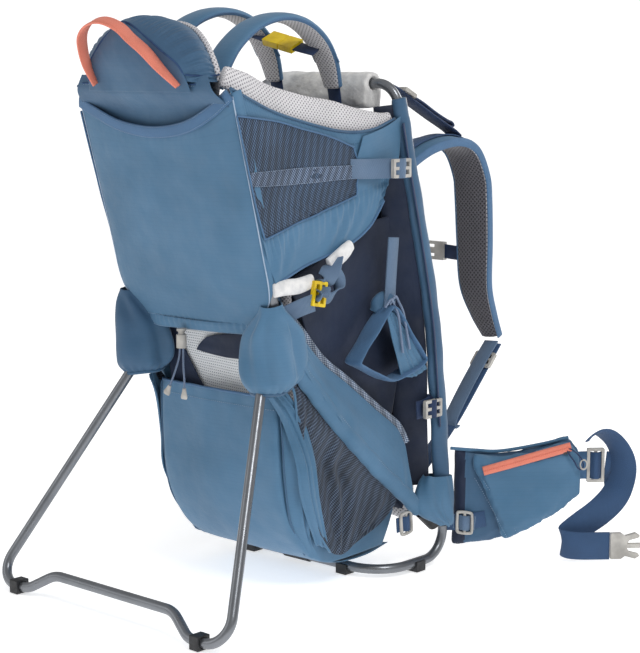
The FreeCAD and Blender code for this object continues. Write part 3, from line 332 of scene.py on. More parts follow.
THREAD = plastic("pale_thread", "#a9bbd0", "#8ea4bd", 0.8)
NAVY_THREAD = plastic("navy_thread", "#2a4a75", "#1c365c", 0.8)
TUBE_METAL = tube_paint()


# ---- shapes -----------------------------------------------------------------------------


def flipped(points, side):
    """Drawn points as they are on that side."""
    return [(side * x, y, z) for x, y, z in points]


def on_side(rows, side):
    """A net drawn for the right side, as it is on that side, its outer face still outside."""
    rows = [flipped(row, side) for row in rows]
    return rows if side == RIGHT else [row[::-1] for row in rows]


def as_drawn(u, side):
    """Where across a net, in the right side's own direction."""
    return u if side == RIGHT else 1 - u


def once(side, node):
    """The node that a mirrored pair stands for, named on the right piece only."""
    return [node] if side == RIGHT else []


def subdivide(obj, name, levels):
    modifier = obj.modifiers.new(name, "SUBSURF")
    modifier.levels = levels
    modifier.render_levels = levels


def mesh_object(name, points, faces, uvs=None, materials=(), slots=None):
    mesh = bpy.data.meshes.new(name)
    mesh.from_pydata([tuple(p) for p in points], [], faces)
    for material in materials:
        mesh.materials.append(material)
    if uvs is not None:
        layer = mesh.uv_layers.new(name="metres")
        flat = [value for corner in uvs for value in corner]
        layer.data.foreach_set("uv", flat)
    if slots is not None:
        mesh.polygons.foreach_set("material_index", slots)
    mesh.polygons.foreach_set("use_smooth", [True] * len(mesh.polygons))
    mesh.update()
    obj = bpy.data.objects.new(name, mesh)
    bpy.context.scene.collection.objects.link(obj)
    return obj


def spline_weights(count, samples):
    """Catmull-Rom weights that turn control points into evenly spaced samples."""
    weights = np.zeros((samples, count))
    for row, place in enumerate(np.linspace(0, count - 1, samples)):
        i = min(int(place), count - 2)
        f = place - i
        basis = (
            (-f + 2 * f**2 - f**3) / 2,
            (2 - 5 * f**2 + 3 * f**3) / 2,
            (f + 4 * f**2 - 3 * f**3) / 2,
            (f**3 - f**2) / 2,
        )
        for k, share in zip(range(i - 1, i + 3), basis):
            if k < 0:
                weights[row, 0] += 2 * share
                weights[row, 1] -= share
            elif k >= count:
                weights[row, -1] += 2 * share
                weights[row, -2] -= share
            else:
                weights[row, k] += share
    return weights


def spread(points, samples):
    """A smooth line through drawn points."""
    points = np.array(points, float)
    return spline_weights(len(points), samples) @ points


def ring_spread(points, samples):
    """A smooth closed line through drawn points, with its first point left off the end."""
    points = [tuple(p) for p in points]
    wrapped = points[-2:] + points + points[:3]
    every = spread(wrapped, (len(wrapped) - 1) * 12 + 1)[24 : 24 + len(points) * 12 + 1]
    steps = np.linalg.norm(np.diff(every, axis=0), axis=1)
    along = np.concatenate([[0], np.cumsum(steps)])
    wanted = np.linspace(0, along[-1], samples + 1)[:-1]
    return np.stack([np.interp(wanted, along, every[:, k]) for k in range(3)], axis=1)


def grid_faces(grid, closed=False):
    """Points, faces and UVs in metres of a grid of points, rows by columns."""
    rows, cols = grid.shape[:2]
    points = grid.reshape(-1, 3)
    stretch = np.linalg.norm(np.diff(grid, axis=1), axis=2)
    across = np.concatenate([np.zeros((rows, 1)), np.cumsum(stretch, axis=1)], axis=1)
    across -= across.mean(axis=1, keepdims=True)
    rise = np.linalg.norm(np.diff(grid[:, cols // 2], axis=0), axis=1)
    up = np.concatenate([[0], np.cumsum(rise)])
    closing = np.linalg.norm(grid[:, 0] - grid[:, -1], axis=1)
    faces, uvs = [], []
    for a in range(rows - 1):
        for b in range(cols if closed else cols - 1):
            after = (b + 1) % cols
            faces.append((a * cols + b, a * cols + after, (a + 1) * cols + after, (a + 1) * cols + b))
            edge = across[:, b + 1] if after else across[:, -1] + closing
            uvs += [(across[a, b], up[a]), (edge[a], up[a])]
            uvs += [(edge[a + 1], up[a + 1]), (across[a + 1, b], up[a + 1])]
    return points, faces, uvs


def rumple(u, v, size=1.0, seed=0.0):
    """Broad, gentle unevenness of cloth, from -1 to 1; u and v run from 0 to 1."""
    a = np.sin(5.1 * u + 3.7 * v + seed) * np.sin(7.3 * v - 2.9 * u + 1.7 * seed)
    b = np.sin(11.7 * u - 4.1 * v + 2.3 * seed) * np.sin(9.1 * v + 6.3 * u + 0.6 * seed)
    return size * (0.62 * a + 0.38 * b)


def gathers(place, count, seed=0.0):
    """Uneven pleats along a seam: place runs from 0 to 1 along it."""
    drift = 0.55 * np.sin(7.0 * place + seed) + 0.3 * np.sin(17.0 * place + 2.1 * seed)
    phase = 2 * math.pi * count * place + 2.2 * drift
    height = 0.65 + 0.35 * np.sin(13.0 * place + 0.7 * seed)
    return np.sin(phase) * height


def fade(value, low, high):
    """0 below low, 1 above high, smooth between; the other way round where high < low."""
    t = np.clip((value - low) / (high - low), 0, 1)
    return t * t * (3 - 2 * t)


class Cloth:
    """A curved sheet through a net of drawn points: rows go up, columns across. Seen with
    the rows going up and the columns to the right, its outer face is towards the viewer."""

    def __init__(self, net, across=44, along=44, relief=None, closed=False):
        net = np.array(net, float)
        up = spline_weights(len(net), along + 1)
        if closed:
            rows = [ring_spread(row, across) for row in net]
            self.points = np.einsum("ar,rbk->abk", up, np.array(rows))
        else:
            side = spline_weights(len(net[0]), across + 1)
            self.points = np.einsum("ar,rck,bc->abk", up, net, side)
        self.closed = closed
        if closed:
            around = np.roll(self.points, -1, axis=1) - np.roll(self.points, 1, axis=1)
        else:
            around = np.gradient(self.points, axis=1)
        normals = np.cross(around, np.gradient(self.points, axis=0))
        self.normals = normals / np.linalg.norm(normals, axis=2, keepdims=True)
        if relief is not None:
            v, u = np.meshgrid(
                np.linspace(0, 1, self.points.shape[0]),
                np.linspace(0, 1, self.points.shape[1]),
                indexing="ij",
            )
            self.points = self.points + self.normals * relief(u, v)[..., None]

    def at(self, u, v, lift=0.0):
        """The drawn point at u across and v up, lifted off the outer face."""
        rows, cols = self.points.shape[:2]
        a, b = v * (rows - 1), u * (cols - 1)
        i, j = min(int(a), rows - 2), min(int(b), cols - 2)
        f, g = a - i, b - j
        shares = (((1 - f) * (1 - g), i, j), ((1 - f) * g, i, j + 1),
                  (f * (1 - g), i + 1, j), (f * g, i + 1, j + 1))
        return sum(s * (self.points[r, c] + self.normals[r, c] * lift) for s, r, c in shares)

    def run(self, start, end, count=30, lift=0.0):
        """Drawn points along the surface from one (u, v) to another."""
        return [self.at(start[0] + (end[0] - start[0]) * t, start[1] + (end[1] - start[1]) * t, lift)
                for t in np.linspace(0, 1, count)]

    def declare(self, obj, held, rests_on):
        """Works out the width and length of the cut it was sewn from; nothing is kept."""
        wide = np.linalg.norm(np.diff(self.points, axis=1), axis=2).sum(axis=1).max() * MM
        long = np.linalg.norm(np.diff(self.points, axis=0), axis=2).sum(axis=0).max() * MM
        ring = self.points if not self.closed else np.append(self.points, self.points[:, :1], axis=1)
        across, along = np.diff(ring, axis=1)[:-1], np.diff(ring, axis=0)[:, :-1]

    def build(self, name, material, thick=1.4, detail=1):
        points, faces, uvs = grid_faces(self.points * MM, self.closed)
        obj = mesh_object(name, points, faces, uvs, [material])
        shell = obj.modifiers.new("thickness", "SOLIDIFY")
        shell.thickness = thick * MM
        shell.offset = -1
        subdivide(obj, "smooth", detail)
        return obj


def panel_of(cloth, name, material, held, rests_on, *nodes, thick=1.4, slot="blue_fabric"):
    """A sheet on the carrier's frame."""
    obj = placed(cloth.build(name, material, thick), ROOT, slot, *nodes)
    cloth.declare(obj, held, [rests_on] if isinstance(rests_on, str) else rests_on)


FLAT_BAND = [(-1, -0.5), (-0.97, -1), (0, -1), (0.97, -1), (1, -0.5), (1, 0.5), (0.97, 1),
             (0, 1), (-0.97, 1), (-1, 0.5)]
CROWNED_PAD = [(-0.93, -0.75), (-0.5, -0.95), (0, -1), (0.5, -0.95), (0.93, -0.75), (1, -0.1),
               (0.95, 0.45), (0.6, 0.9), (0, 1), (-0.6, 0.9), (-0.95, 0.45), (-1, -0.1)]
ROUND = [(math.cos(a), math.sin(a)) for a in np.linspace(0, 2 * math.pi, 13)[:-1]]


def turned_over(profile):
    """The same outline with its crown on the other face."""
    return [(a, -b) for a, b in reversed(profile)]


def crowned(side):
    """A pad's outline with its crown away from the carrier."""
    return CROWNED_PAD if side == RIGHT else turned_over(CROWNED_PAD)


def stretched(values, samples):
    """A number, or numbers along a line, as one for each sample."""
    if np.ndim(values) == 0:
        return np.full(samples, float(values))
    return spline_weights(len(values), samples) @ np.array(values, float)


def band(name, line, way, wide, thick, materials, profile=FLAT_BAND, samples=60, slots=None,
         relief=None, smooth=0):
    """A strap, roll or piping along a smooth line of drawn points. way is how its width
    runs: one direction, or one for each point. Its profile's points are in half widths
    and half thicknesses. relief gives extra thickness from how far along and where round."""
    centre = spread(line, samples)
    if np.ndim(way) == 1:
        way = [way] * len(line)
    ways = spline_weights(len(way), samples) @ np.array(way, float)
    heading = np.gradient(centre, axis=0)
    heading /= np.linalg.norm(heading, axis=1, keepdims=True)
    ways -= heading * (ways * heading).sum(axis=1, keepdims=True)
    ways /= np.linalg.norm(ways, axis=1, keepdims=True)
    normals = np.cross(heading, ways)
    half_wide = stretched(wide, samples)[:, None] / 2
    half_thick = stretched(thick, samples)[:, None] / 2
    rings = []
    for a, b in profile:
        extra = 0.0
        if relief is not None:
            place = np.linspace(0, 1, samples)
            extra = relief(place, a, b)[:, None]
        ring = centre + ways * half_wide * a + normals * half_thick * b
        outward = ways * a + normals * b
        outward /= np.linalg.norm(outward, axis=1, keepdims=True) + 1e-9
        rings.append(ring + outward * extra)
    grid = np.stack(rings, axis=1) * MM
    points, faces, uvs = grid_faces(grid, closed=True)
    count = len(profile)
    last = (samples - 1) * count
    for cap in (list(range(count))[::-1], list(range(last, last + count))):
        faces.append(tuple(cap))
        uvs += [(profile[k % count][0] * 0.01, profile[k % count][1] * 0.01) for k in cap]
    index = [slots[b] for _ in range(samples - 1) for b in range(count)] + [slots[0]] * 2 if slots else None
    obj = mesh_object(name, points, faces, uvs, materials, index)
    if smooth:
        subdivide(obj, "smooth", smooth)
    return obj


def stitches(name, lines, material, pitch=3.4, length=2.3, thick=0.62):
    """Rows of thread dashes along drawn lines."""
    points, faces = [], []
    for line in lines:
        line = np.array([tuple(p) for p in line], float)
        steps = np.linalg.norm(np.diff(line, axis=0), axis=1)
        along = np.concatenate([[0], np.cumsum(steps)])
        for start in np.arange(pitch / 2, along[-1] - length, pitch):
            ends = [np.array([np.interp(start + s, along, line[:, k]) for k in range(3)])
                    for s in (0, length / 2, length)]
            heading = ends[2] - ends[0]
            side = np.cross(heading, (0.3, 0.5, 0.81))
            side /= np.linalg.norm(side)
            other = np.cross(heading, side)
            other /= np.linalg.norm(other)
            first = len(points)
            points.append(ends[0])
            for a, b in ((1, 0), (0, 1), (-1, 0), (0, -1)):
                points.append(ends[1] + (side * a + other * b) * thick / 2)
            points.append(ends[2])
            for k in range(4):
                after = (k + 1) % 4
                faces.append((first, first + 1 + after, first + 1 + k))
                faces.append((first + 5, first + 1 + k, first + 1 + after))
    return mesh_object(name, np.array(points) * MM, faces, None, [material])


def piping(name, line, material, thick=2.2, samples=70, way=(0.31, 0.52, 0.79)):
    return band(name, line, way, thick, thick, [material], ROUND, samples)


def placed(obj, body, slot, *nodes):
    """The piece rides on its body and stands for nodes, which are hidden; the slot is not used."""
    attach(obj, body)
    if nodes:
        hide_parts(*nodes)
    return obj


def webbing(name, line, way, wide, thick, material, *nodes, samples=60):
    """A flat strap on the carrier's frame."""
    strap = band(name, line, way, wide, thick, [material], samples=samples)
    return placed(strap, ROOT, "navy_webbing", *nodes)


def sewn(obj, *nodes):
    """A piece riding on the carrier's frame."""
    return placed(obj, ROOT, "blue_fabric", *nodes)


# ---- stuffed pieces ---------------------------------------------------------------------

VOXEL = 0.005
SIM_FRAMES = 20
PRESSURE = 4.0


def sewn_blank(name, node, shrink):
    """A closed cloth skin in the shape of a CAD solid, a little smaller."""
    mesh = NODES[node].data.copy()
    obj = bpy.data.objects.new(name, mesh)
    bpy.context.scene.collection.objects.link(obj)
    shape = bmesh.new()
    shape.from_mesh(mesh)
    bmesh.ops.remove_doubles(shape, verts=shape.verts, dist=2e-5)
    shape.normal_update()
    for vertex in shape.verts:
        vertex.co -= vertex.normal * shrink * MM
    shape.to_mesh(mesh)
    shape.free()
    remesh = obj.modifiers.new("remesh", "REMESH")
    remesh.mode = "VOXEL"
    remesh.voxel_size = VOXEL
    return settle(obj)


def settle(obj):
    """Applies every modifier of a piece."""
    graph = bpy.context.evaluated_depsgraph_get()
    mesh = bpy.data.meshes.new_from_object(obj.evaluated_get(graph))
    obj.modifiers.clear()
    old = obj.data
    obj.data = mesh
    bpy.data.meshes.remove(old)
    return obj


def inflate(blanks, cap):
    """Blows every blank up together under cloth pressure; no point moves over the cap."""
    for obj in blanks:
        cloth = obj.modifiers.new("stuffing", "CLOTH")
        cloth.settings.use_pressure = True
        cloth.settings.uniform_pressure_force = PRESSURE
        cloth.settings.quality = 4
        cloth.settings.effector_weights.gravity = 0
        cloth.point_cache.frame_start = 1
        cloth.point_cache.frame_end = SIM_FRAMES
    scene = bpy.context.scene
    for number in range(1, SIM_FRAMES + 1):
        scene.frame_set(number)
    graph = bpy.context.evaluated_depsgraph_get()
    for obj in blanks:
        count = len(obj.data.vertices)
        before = np.empty(count * 3)
        after = np.empty(count * 3)
        obj.data.vertices.foreach_get("co", before)
        obj.evaluated_get(graph).data.vertices.foreach_get("co", after)
        move = (after - before).reshape(-1, 3)
        far = np.linalg.norm(move, axis=1, keepdims=True)
        limit = cap[obj.name] * MM
        move *= np.minimum(1, limit / np.maximum(far, 1e-9))
        obj.data.vertices.foreach_set("co", (before.reshape(-1, 3) + move).ravel())
        obj.modifiers.clear()
    scene.frame_set(1)


def refine(obj):
    subdivide(obj, "fine", 1)
    return settle(obj)


def shape_points(obj, move):
    """Moves each vertex along its normal by move(points in mm, normals), in mm."""
    mesh = obj.data
    count = len(mesh.vertices)
    points = np.empty(count * 3)
    normals = np.empty(count * 3)
    mesh.vertices.foreach_get("co", points)
    mesh.vertex_normals.foreach_get("vector", normals)
    points, normals = points.reshape(-1, 3), normals.reshape(-1, 3)
    out = move(points / MM, normals)
    points = points + normals * out[:, None] * MM
    mesh.vertices.foreach_set("co", points.ravel())
    mesh.update()


def seam_pull(lines, reach, depth):
    """How far a seam along drawn lines draws the cover in, for shape_points."""
    marks = np.concatenate([spread(line, 90) for line in lines])
    tree = kdtree.KDTree(len(marks))
    for i, point in enumerate(marks):
        tree.insert(point, i)
    tree.balance()

    def move(points, normals):
        gap = np.array([tree.find(point)[2] for point in points])
        return -depth * np.clip(1 - gap / reach, 0, 1) ** 1.6

    return move


def creases(points, size, seed):
    """Soft lumps and creases of a sewn cover, in mm."""
    spots = points / size + seed
    return np.array([noise.noise(spot) + 0.5 * noise.noise(spot * 2.3) for spot in spots])


def box_uvs(obj):
    """UVs in metres, each face seen along its main direction."""
    mesh = obj.data
    layer = mesh.uv_layers.new(name="metres")
    for face in mesh.polygons:
        main = max(range(3), key=lambda k: abs(face.normal[k]))
        first, second = [k for k in range(3) if k != main]
        for corner in face.loop_indices:
            point = mesh.vertices[mesh.loops[corner].vertex_index].co
            layer.data[corner].uv = (point[first], point[second])


def dress(obj, materials, choose=None):
    """Materials by face: choose(centre in mm, normal) gives the slot."""
    mesh = obj.data
    mesh.materials.clear()
    for material in materials:
        mesh.materials.append(material)
    for face in mesh.polygons:
        face.use_smooth = True
        face.material_index = choose(face.center / MM, face.normal) if choose else 0
    box_uvs(obj)


# name: (node, body, slot, how much smaller the blank is, cap on its swelling, fullness)
STUFFED = {
    "chin_roll": ("chin_pad", ROOT, "white_fleece", 1.5, 5.0, 0.7),
    "child_backrest": ("child_back_panel", ROOT, "navy_fabric", 2.5, 5.0, 0.6),
    "seat_pad": ("seat_cushion", ROOT, "navy_fabric", 4.0, 7.0, 0.6),
    "wearer_panel": ("wearer_back_panel", ROOT, "light_mesh", 3.0, 5.0, 0.5),
    "spine_pads": ("back_mesh_pads", ROOT, "light_mesh", 3.0, 6.0, 0.7),
    "lumbar": ("lumbar_pad", ROOT, "light_mesh", 4.0, 7.0, 0.8),
    "belt_fin_right": ("hip_fin_right", "hip_belt_right", "blue_fabric", 3.0, 5.0, 0.6),
    "belt_fin_left": ("hip_fin_left", "hip_belt_left", "blue_fabric", 3.0, 5.0, 0.6),
    "belt_pocket": ("hip_pocket", "hip_belt_right", "blue_fabric", 2.0, 4.5, 0.5),
}


def make_stuffed():
    blanks = {}
    for name, (node, _, _, shrink, _, _) in STUFFED.items():
        blanks[name] = sewn_blank(name, node, shrink)
    inflate(list(blanks.values()), {name: STUFFED[name][4] for name in STUFFED})
    for obj in blanks.values():
        refine(obj)
    return blanks


def finish_stuffed(pieces):
    for name, obj in pieces.items():
        node, body, slot, _, _, fill = STUFFED[name]
        placed(obj, body, slot, node)


# ---- cords first ------------------------------------------------------------------------

FIN_ROOT = Vector((130, 140, 0))
FIN_TURN = math.radians(45.6)
FIN_HALF = 8.0
WEB_WIDE = 38.0
RIGHT_WEBBING = [
    ((198, 14, 162), (0.1, 0.8, 0.6)),
    ((207, 15, 174), (0.25, 0.9, 0.4)),
    ((223, 14, 174), (0.3, 0.85, 0.5)),
    ((240, 13, 158), (0.5, 0.8, 0.5)),
    ((250, 12, 134), (0.75, 0.65, 0.35)),
    ((248, 12, 106), (0.8, 0.55, 0.1)),
    ((236, 13, 82), (0.75, 0.3, -0.6)),
    ((215, 14, 62), (0.55, 0.1, -0.8)),
    ((194, 14, 48), (0.4, 0, -0.9)),
    ((178, 15, 35), (0.3, 0.05, -0.95)),
    ((167, 18, 28), (0.1, 0, -1)),
    ((164, 25, 25), (0, 0, -1)),
    ((172, 32, 23.2), (0, 0, -1)),
    ((188, 35, 22.6), (0, 0, -1)),
    ((207, 35, 22.5), (0, 0, -1)),
    ((227, 35, 22.5), (0, 0, -1)),
]
RIGHT_STRAND = [
    ((226.3, 0, 126), (0, 0, 1)),
    ((232, 0, 125.5), (0, 0, 1)),
    ((239, -2, 120), (0.25, 0.1, 0.95)),
    ((245, -3, 108), (0.6, 0.2, 0.7)),
    ((246, -3, 94), (0.8, 0.3, 0.4)),
]
LEFT_WEBBING = [
    ((226.3, 0, 126), (0, 0, 1)),
    ((234, 0, 126), (0, 0, 1)),
    ((244, 2, 118), (0.3, 0.3, 1)),
    ((251, 4, 99), (0.7, 0.4, 0.6)),
    ((247, 7, 74), (0.9, 0.4, 0.1)),
    ((229, 10, 53), (0.6, 0.3, -0.7)),
    ((205, 16, 36), (0.3, 0.1, -0.9)),
    ((182, 24, 25), (0.1, 0, -1)),
    ((162, 29, 20.3), (0, 0, -1)),
    ((140, 32, 20), (0, 0, -1)),
]


def fin_point(side, along, out, z):
    """A point given along the hip fin, out from it and up, in drawn millimetres."""
    x = FIN_ROOT.x + along * math.cos(FIN_TURN) + out * math.sin(FIN_TURN)
    y = FIN_ROOT.y + along * math.sin(FIN_TURN) - out * math.cos(FIN_TURN)
    return (side * x, y, z)


def fin_way(side, along, out, z):
    x = along * math.cos(FIN_TURN) + out * math.sin(FIN_TURN)
    y = along * math.sin(FIN_TURN) - out * math.cos(FIN_TURN)
    return (side * x, y, z)


def route_line(points):
    """The route's own NURBS spline, as a curve object and as the points that it gives."""
    curve = bpy.data.curves.new("route", "CURVE")
    curve.dimensions = "3D"
    spline = curve.splines.new("NURBS")
    spline.points.add(len(points) - 1)
    for control, point in zip(spline.points, points):
        control.co = (*(Vector(point) * MM), 1)
    spline.order_u = 3
    spline.use_endpoint_u = True
    spline.resolution_u = 12
    obj = bpy.data.objects.new("route", curve)
    bpy.context.scene.collection.objects.link(obj)
    mesh = bpy.data.meshes.new_from_object(obj)
    line = np.array([tuple(v.co) for v in mesh.vertices]) / MM
    bpy.data.meshes.remove(mesh)
    return obj, line


def free_webbing(name, side, route):
    """A loose strap on its spline, twisting from one stated width direction to the next."""
    points = [fin_point(side, *point) for point, _ in route]
    guide, line = route_line(points)
    bpy.data.objects.remove(guide)
    ways = spread([fin_way(side, *way) for _, way in route], len(line))
    obj = band(name, line, ways, WEB_WIDE, 2.0, [NAVY_WEBBING], samples=len(line))
    return obj, line


def make_hip_webbings():
    right, line = free_webbing("belt_webbing_right", RIGHT, RIGHT_WEBBING)
    placed(right, "hip_belt_right", "navy_webbing", "hip_webbing_right")
    strand, line = free_webbing("belt_strand_right", RIGHT, RIGHT_STRAND)
    placed(strand, "hip_belt_right", "navy_webbing")
    left, line = free_webbing("belt_webbing_left", LEFT, LEFT_WEBBING)
    placed(left, "hip_belt_left", "navy_webbing", "hip_webbing_left")


CORD_ROUTES = [
    [(-26, -190, 311.5), (-26.4, -190.4, 300), (-31, -192, 286), (-38, -192, 271), (-47, -191, 257)],
    [(-20, -190, 311.5), (-19.6, -190.5, 300), (-17, -193, 286), (-16, -192, 271), (-18, -191, 256)],
]
CORD_LENGTHS = (0.0594, 0.0561)
CORD_THICK = 2.6


def make_drawcords():
    for number, (route, length) in enumerate(zip(CORD_ROUTES, CORD_LENGTHS), 1):
        cord, line = route_line(route)
        cord.name = f"drawcord_{number}"
        cord.data.bevel_depth = CORD_THICK / 2 * MM
        cord.data.bevel_resolution = 3
        cord.data.materials.append(CORD_PAINT)
        placed(cord, ROOT, "grey_cord", *(["drawcords"] if number == 1 else []))
        tip, before = Vector(line[-1]), Vector(line[-6])
        away = (tip - before).normalized()
        tag = band(f"cord_end_{number}", [tip - away * 5, tip, tip + away * 6, tip + away * 9],
                   (1, 0.3, 0), [4.6, 6.2, 9.5, 8.4], [4.4, 4.8, 4.8, 3.6], [GREY_PLASTIC],
                   ROUND, 14)
        placed(tag, ROOT, "grey_plastic")


# ---- rear panel, headrest and handle ----------------------------------------------------

HOOP_KNEE = (0, -168, 335)
HOOP_TILT = math.radians(15.05)


def rear(x, z, out):
    """A point in the leaning rear plane: across, up the hoop and out towards the rear."""
    up, off = math.sin(HOOP_TILT), math.cos(HOOP_TILT)
    return (x, HOOP_KNEE[1] - z * up - out * off, HOOP_KNEE[2] + z * off - out * up)


HEM_LINE = [(-134, 296), (-104, 284), (-58, 269), (0, 263), (56, 270), (100, 288), (134, 309)]


def rear_pocket():
    """The big outer pocket: one panel that bellies out and wraps the hoop's sides."""

    def row(z, reach, belly, edge=8.0):
        swell = ((-1, 0), (-0.75, 0.7), (-0.38, 1), (0, 1.05), (0.38, 1), (0.75, 0.7), (1, 0))
        face = [rear(x * reach, z, edge + belly * share) for x, share in swell]
        return [rear(-reach - 4, z + 2, edge - 15), *face, rear(reach + 4, z + 2, edge - 15)]

    top = [rear(-138, 298, -7)]
    top += [rear(x, z, 8 + 8 * (1 - (x / 134) ** 2)) for x, z in HEM_LINE]
    top += [rear(138, 311, -7)]
    net = [row(16, 97, 4), row(34, 114, 6), row(60, 130, 9), row(120, 132, 11), row(185, 133, 11),
           row(240, 133, 9), top]

    def relief(u, v):
        pleats = gathers(u, 34, 1.0) * 0.9 * fade(v, 0.82, 0.97) * fade(abs(u - 0.46), 0.3, 0.12)
        low = gathers(u, 26, 3.0) * 0.7 * fade(v, 0.12, 0.0)
        drape = 1.3 * np.exp(-(((u - 0.82 + 0.1 * v) / 0.03) ** 2)) * fade(v, 0.45, 0.9)
        return rumple(u, v, 0.8, 2.0) + pleats + low - drape

    panel = Cloth(net, 90, 72, relief)
    panel_of(panel, "rear_pocket_panel", FABRIC, "stretched", "rear_frame_tube", "rear_pocket")
    hem = [rear(x, z, 10 + 8.4 * (1 - (x / 134) ** 2)) for x, z in HEM_LINE]
    way = np.array(rear(0, 1, 0)) - np.array(rear(0, 0, 0))
    edge = band("pocket_hem", hem, -way, 15, 3.0, [BINDING], CROWNED_PAD, 70)
    sewn(edge)
    rows = []
    for offset in (-6.3, 6.3):
        rows.append(spread([np.array(p) + way * offset + np.array((0, -1.75, -0.45)) for p in hem], 120))
    for side in (RIGHT, LEFT):
        u = as_drawn(0.885, side)
        line = panel.run((u, 0.22), (u, 0.99), 40, 0.6)
        seam = piping(f"pocket_seam_{SIDES[side]}", line[::4] + [line[-1]], THREAD, 1.7)
        sewn(seam)
    sewn(stitches("pocket_hem_stitches", rows, THREAD))
    foot = panel.run((0.12, 0.02), (0.88, 0.02), 60, 0.5)
    sewn(stitches("pocket_foot_stitches", [foot], THREAD))


def tunnel_strip():
    """The gathered strip under the pocket that the drawcord comes out of."""
    top = [(-104, -180, 356), (-78, -183, 350), (-40, -186, 349), (0, -187, 349), (40, -186, 350),
           (84, -184, 353), (114, -180, 356)]
    drop = [18, 17, 15, 14, 14, 15, 16]
    bottom = [(x, y + 5, z - d) for (x, y, z), d in zip(top, drop)]
    middle = [(x, y + 1, z - d / 2) for (x, y, z), d in zip(top, drop)]

    def relief(u, v):
        return gathers(u, 24, 5.0) * 1.1 * fade(v, 0.0, 0.6) + rumple(u, v, 0.6)

    strip = Cloth([bottom, middle, top], 80, 10, relief)
    sewn(strip.build("drawcord_tunnel", FABRIC, 2.0))
    low = strip.run((0.02, 0.12), (0.98, 0.12), 60, 0.6)
    sewn(stitches("tunnel_stitches", [low], THREAD))


def upper_back():
    """The panel that shows in the pocket's mouth, up to the seam under the handle."""

    def row(z, reach, out, belly):
        places = (-1.03, -0.96, -0.5, 0, 0.5, 0.96, 1.03)
        return [rear(x * reach, z, out + belly * (1 - x * x)) for x in places]

    def top(y, z, reach):
        return [(x * reach, y + 5 * x * x, z) for x in (-1.02, -0.95, -0.5, 0, 0.5, 0.95, 1.02)]

    net = [row(205, 127, 7.5, 0), row(250, 128, 7.2, 1), row(285, 127, 7, 3), top(-275, 632, 118),
           top(-275, 652, 108)]
    net[0][0], net[0][-1] = rear(-130, 205, 0), rear(130, 205, 0)

    def relief(u, v):
        return rumple(u, v, 0.9, 4.0)

    sheet = Cloth(net, 60, 44, relief)
    # painted shade: the panel in the pocket's mouth takes the darker shaded copy of the ripstop
    sewn(sheet.build("upper_back_panel", SHADED_FABRIC))
    seam = sheet.run((0.17, 0.87), (0.78, 0.87), 12, 0.7)
    sewn(piping("handle_seam", seam, NAVY_THREAD, 1.6))
    line = sheet.run((0.17, 0.845), (0.78, 0.845), 50, 0.5)
    sewn(stitches("handle_seam_stitches", [line], THREAD))



def arch(points):
    """A line from its left end to its middle, and mirrored on to its right end."""
    return points + flipped(points[-2::-1], -1)


HEADREST_SEAM = arch(
    [(-86, -280, 645), (-78, -286, 664), (-57, -293, 681), (-35, -297, 697), (0, -298, 714)]
)
HEADREST_CREST = arch(
    [(-105, -264, 645), (-98, -267, 674), (-76, -267, 697), (-42, -265, 714), (0, -262, 722)]
)
HEADREST_RIM = arch(
    [(-106, -247, 645), (-95, -246, 669), (-69, -236, 692), (-36, -223, 707), (0, -216, 713)]
)


def headrest():
    """A smooth rear face, a ruched gusset over the top and a mesh front towards the child."""

    def ruched(u, v):
        pleats = gathers(u, 44, 1.3) * 1.9 + gathers(u, 17, 4.0) * 1.3
        return pleats * fade(v, 0.04, 0.3) * fade(v, 1.0, 0.85) + rumple(u, v, 0.8)

    gusset = Cloth([HEADREST_SEAM, HEADREST_CREST, HEADREST_RIM], 130, 30, ruched)
    # painted shade: the gusset takes the darker shaded copy of the ripstop
    panel_of(gusset, "headrest_gusset", SHADED_FABRIC, "gathered", "rear_frame_tube", "headrest_cushion")
    levels = ((-277, 632, 90, 3), (-282, 650, 86, 5), (-287, 664, 77, 6), (-294, 681, 56, 6),
              (-298, 697, 34, 5), (-299, 708, 16, 3), (-298, 714, 1.5, 0.5))
    face_rows = [[(reach * x, y - belly * (1 - x * x), z) for x in (-1, -0.6, 0, 0.6, 1)]
                 for y, z, reach, belly in levels]
    face = Cloth(face_rows, 50, 44, lambda u, v: rumple(u, v, 1.2, 2.0))
    # painted shade: the rear face takes the darker shaded copy of the ripstop
    panel_of(face, "headrest_face", SHADED_FABRIC, "stretched", "headrest_cushion")
    seam = piping("headrest_seam", HEADREST_SEAM, NAVY_THREAD, 2.4, 90)
    sewn(seam)
    lining = [arch([(104, -240, 600), (84, -232, 600), (58, -224, 600), (30, -218, 600), (0, -216, 600)]),
              arch([(105, -244, 624), (90, -238, 640), (62, -224, 656), (32, -212, 664), (0, -207, 667)]),
              HEADREST_RIM[::-1]]
    front = Cloth(lining, 60, 40, lambda u, v: rumple(u, v, 1.4, 3.0) + 2.0 * fade(v, 0.6, 1.0))
    panel_of(front, "headrest_mesh", LIGHT_MESH, "stretched", "headrest_cushion", thick=2.5,
             slot="light_mesh")
    rolled = [(x, y + 1.5, z + 0.5) for x, y, z in HEADREST_RIM]
    rim = band("headrest_rim", rolled, (0, 1, 0), 8, 6, [LIGHT_MESH], ROUND, 90)
    placed(rim, ROOT, "light_mesh")
    for side in (RIGHT, LEFT):
        line = flipped([(86, -282, 653), (96, -274, 652), (106, -258, 652), (108, -248, 653)], side)
        sewn(piping(f"headrest_foot_{SIDES[side]}", line, NAVY_THREAD, 2.0))


HANDLE = [(77, -284, 640), (59, -296, 661), (44, -307, 681), (31, -315, 694), (18, -321, 707),
          (-4, -324, 715), (-27, -323, 714), (-49, -317, 705), (-63, -309, 691), (-70, -297, 666),
          (-68, -284, 641)]


